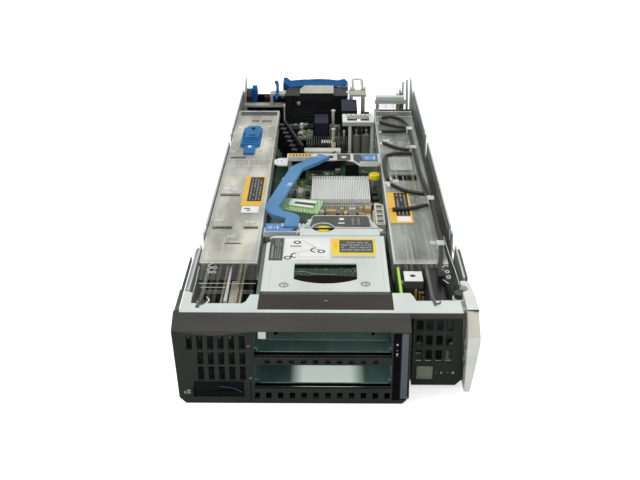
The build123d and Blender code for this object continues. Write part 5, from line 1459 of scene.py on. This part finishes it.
def rear_detail():
    """Lug and arc on the blue cap, and the screw, wings, lever and ribs of the housing."""
    _, y, _ = span("connector_cap")
    front = y[0]
    lug = [(9, front - 0.4), (19.8, front - 0.4), (19.8, front + 5), (14.6, front + 6)]
    Shape().plate(lug, (46, 52.6)).piece("cap_lug", "module", bevel=0.5)
    arc = [(-22 + 27 * i / 8, y[1] - 3.2, 53.6 + 0.9 * math.sin(math.pi * i / 8)) for i in range(9)]
    wire("cap_arc", arc, 0.5, "pale_sheet")
    x, y, _ = span("midplane_connector")
    front = y[0]
    screw = Shape().rod(-29.2, (front - 0.8, front + 0.4), 43.6, 1.9, 2.3, axis="Y")
    screw.rod(-29.2, (front - 1, front - 0.7), 43.6, 0.8, 1, axis="Y")
    screw.piece("housing_screw", "tin", smooth=True, bevel=0.2)
    wings = Shape()
    for points in ([(-57, 481), (-28.6, 479), (-28.6, 472.4), (-46, 474), (-57, 476.4)],
                   [(5.8, 479.4), (21, 479.4), (21, 472.6), (5.8, 472.6)]):
        wings.plate(points, (50.6, 51.6))
    wings.block((-57, -55.6), (474.6, 480.4), (38, 51))
    wings.piece("housing_wings", "cast", bevel=0.3)
    lever = Shape().plate([(-55.6, 509.6), (-52.2, 511.6), (-50.6, 500), (-49.6, 478),
                           (-52.4, 478), (-53.4, 498)], (50.8, 53.4))
    lever.block((-52.6, -49.4), (452, 478), (50, 52.6))
    lever.piece("small_lever", "cap_blue", bevel=0.5)
    levels = [12 + 3.6 * i for i in range(6)]
    blocks("housing_ribs", "black", [(x[0] + 4, x[1] - 4, front - 0.5, front + 0.1, level, level + 1.4)
                                     for level in levels], bevel=0.15)
    front, back = span("rear_latch")[1]
    hook = Shape().plate([(-77.4, front + 0.5), (-71.6, front + 0.5), (-72.4, back - 3),
                          (-77, back - 3)], (49.6, 53.2))
    hook.block((-76, -72), (front - 0.6, front + 0.8), (36, 50))
    hook.piece("hook_blue_face", "cap_blue", bevel=0.6)


def bail_sleeve():
    """Pale sleeve that makes the loop of the bail as stout as it shows."""
    x, y, z = span("rear_bail")
    left, right, tip = x[0] + 3.6, x[1] - 3.6, y[1] - 1.1
    low, high = z[1] - 1.7, z[1] - 1.1
    wire("bail_sleeve", [(left, y[0] + 2.4, low), (left, tip - 5, high), (left, tip, high),
                         (left + 5, tip, high), (right - 5, tip, high), (right, tip, high),
                         (right, tip - 5, high), (right, y[0] + 2.4, low)], 1, "cast", "rear_bail")


def rear_right_detail():
    """Contacts in the connector row and the boards beside the fins."""
    front = span("rear_sockets")[1][0]
    starts = [49.5 + 1.7 * i for i in range(20)]
    blocks("row_contacts", "tin", [(at, at + 0.7, front + 9, front + 11, 26, 29.4) for at in starts])
    sticker("orange_edge", "ceramic", (70.4, 72.4), (488, 498), (20, 44), corner=0.4)
    sticker("green_edge", "bright_board", (73.2, 75.4), (486, 500), (18, 47), corner=0.4)
    sticker("bar_face", "wall_edge", (46.6, 77), (454.8, 455.6), (45.6, 49.6), corner=0.3)
    starts = [49 + 1.15 * i for i in range(24)]
    blocks("row_comb", "dark_olive", [(at, at + 0.45, 456.6, 457.4, 40, 45.8) for at in starts])


def beam_detail():
    """Face and ticks of the light frame, and the dark parts inside it."""
    x, y, z = span("frame_beam")
    face = [(x[0], x[1], y[0] - 0.5, y[0] + 0.2, z[1] - 3.4, z[1] - 0.4)]
    for i in range(6):
        at = x[0] + 3 + 4.4 * i
        face.append((at, at + 2, y[1] - 4, y[1] - 1, z[1], z[1] + 0.15))
    blocks("beam_face", "grey_steel", face, bevel=0.15)
    starts = [x[0] + 5 + 4.6 * i for i in range(5)]
    blocks("beam_fill", "chip", [(at, at + 2.6, y[0] + 5.4, y[1] - 5.4, 38.6, 46) for at in starts],
           bevel=0.3)


def riser_detail():
    """Contacts at the riser's edge and the ring round the socket's hole."""
    x, y, z = span("riser_card")
    starts = [y[0] + 4 + 4.6 * i for i in range(7)]
    blocks("riser_chips", "chip", [(x[0] + 0.5, x[0] + 1.6, at, at + 2.4, z[1] - 12, z[1] - 9.6)
                                   for at in starts], bevel=0.1)
    front = span("riser_socket")[1][0]
    pads = ((55.6, 57, 37, 45.4), (58, 61.6, 42.4, 43.6), (58.4, 59.4, 36, 41.6),
            (60.4, 61.8, 36.6, 40.2))
    blocks("socket_pads", "ceramic", [(x0, x1, front - 0.5, front + 0.1, z0, z1)
                                      for x0, x1, z0, z1 in pads], bevel=0.12)
    cap = top_of("riser_socket")
    hole = Shape().rod(54.6, 68.5, (cap - 0.5, cap + 0.02), 1.6, 1.75)
    hole.rod(54.6, 68.5, (cap, cap + 0.08), 1.75, 1.5).piece("socket_hole", "label_black", smooth=True)
    Shape().ring(54.6, 68.5, (cap, cap + 0.12), 2.3, 1.75).piece("socket_hole_rim", "pale_plastic")


def wall_detail():
    """Hems and rivets along the two walls, and pale plates on the hook tips as painted highlight."""
    x, _, z = span("chassis_tray")
    deck = z[1]
    hems = []
    glints = []
    studs = Shape()
    for side, start in ((x[0], 1), (x[1], -1)):
        for y0, y1 in ((108, 122), (142, 313), (350, 468)):
            hems.append((*sorted((side + start * 1.2, side + start * 1.7)), y0, y1, deck - 6,
                         deck - 5))
        # pale plates on the tops of the hook tips, painted highlight
        for y in (126.5, 335.5):
            glints.append((*sorted((side + start * 0.1, side + start * 1.1)), y, y + 5, deck,
                           deck + 0.3))
        for y in (70, 94, 180, 262, 390, 440):
            studs.rod(sorted((side + start * 1.1, side + start * 1.7)), y, 30, 2, 1.6, axis="X")
    blocks("wall_hems", "wall", hems, bevel=0.15)
    studs.piece("wall_rivets", "steel", smooth=True)
    blocks("hook_tip_highlights", "pale_sheet", glints, bevel=0.1)


make_camera()
make_light()
make_floor()
make_finishes()
dress_nodes()
for build in (front_marks, vent_louvres, front_details, bay_detail, cage_labels, cage_edges,
              bridge_plate, window_board_in_shade, bracket_labels, bracket_metal, daughter_board,
              heat_sink_detail, option_card_detail, module_detail, main_board, board_towers,
              rear_small_board, rear_flank, slanted_ribs, header_detail, memory_detail,
              left_front_rails, guide_rims, guide_gloss, guide_arches, guide_slots, guide_labels,
              clear_hooks, touch_details, rear_detail, bail_sleeve, rear_right_detail, beam_detail,
              riser_detail, wall_detail):
    build()

bpy.context.scene.view_settings.view_transform = "Standard"
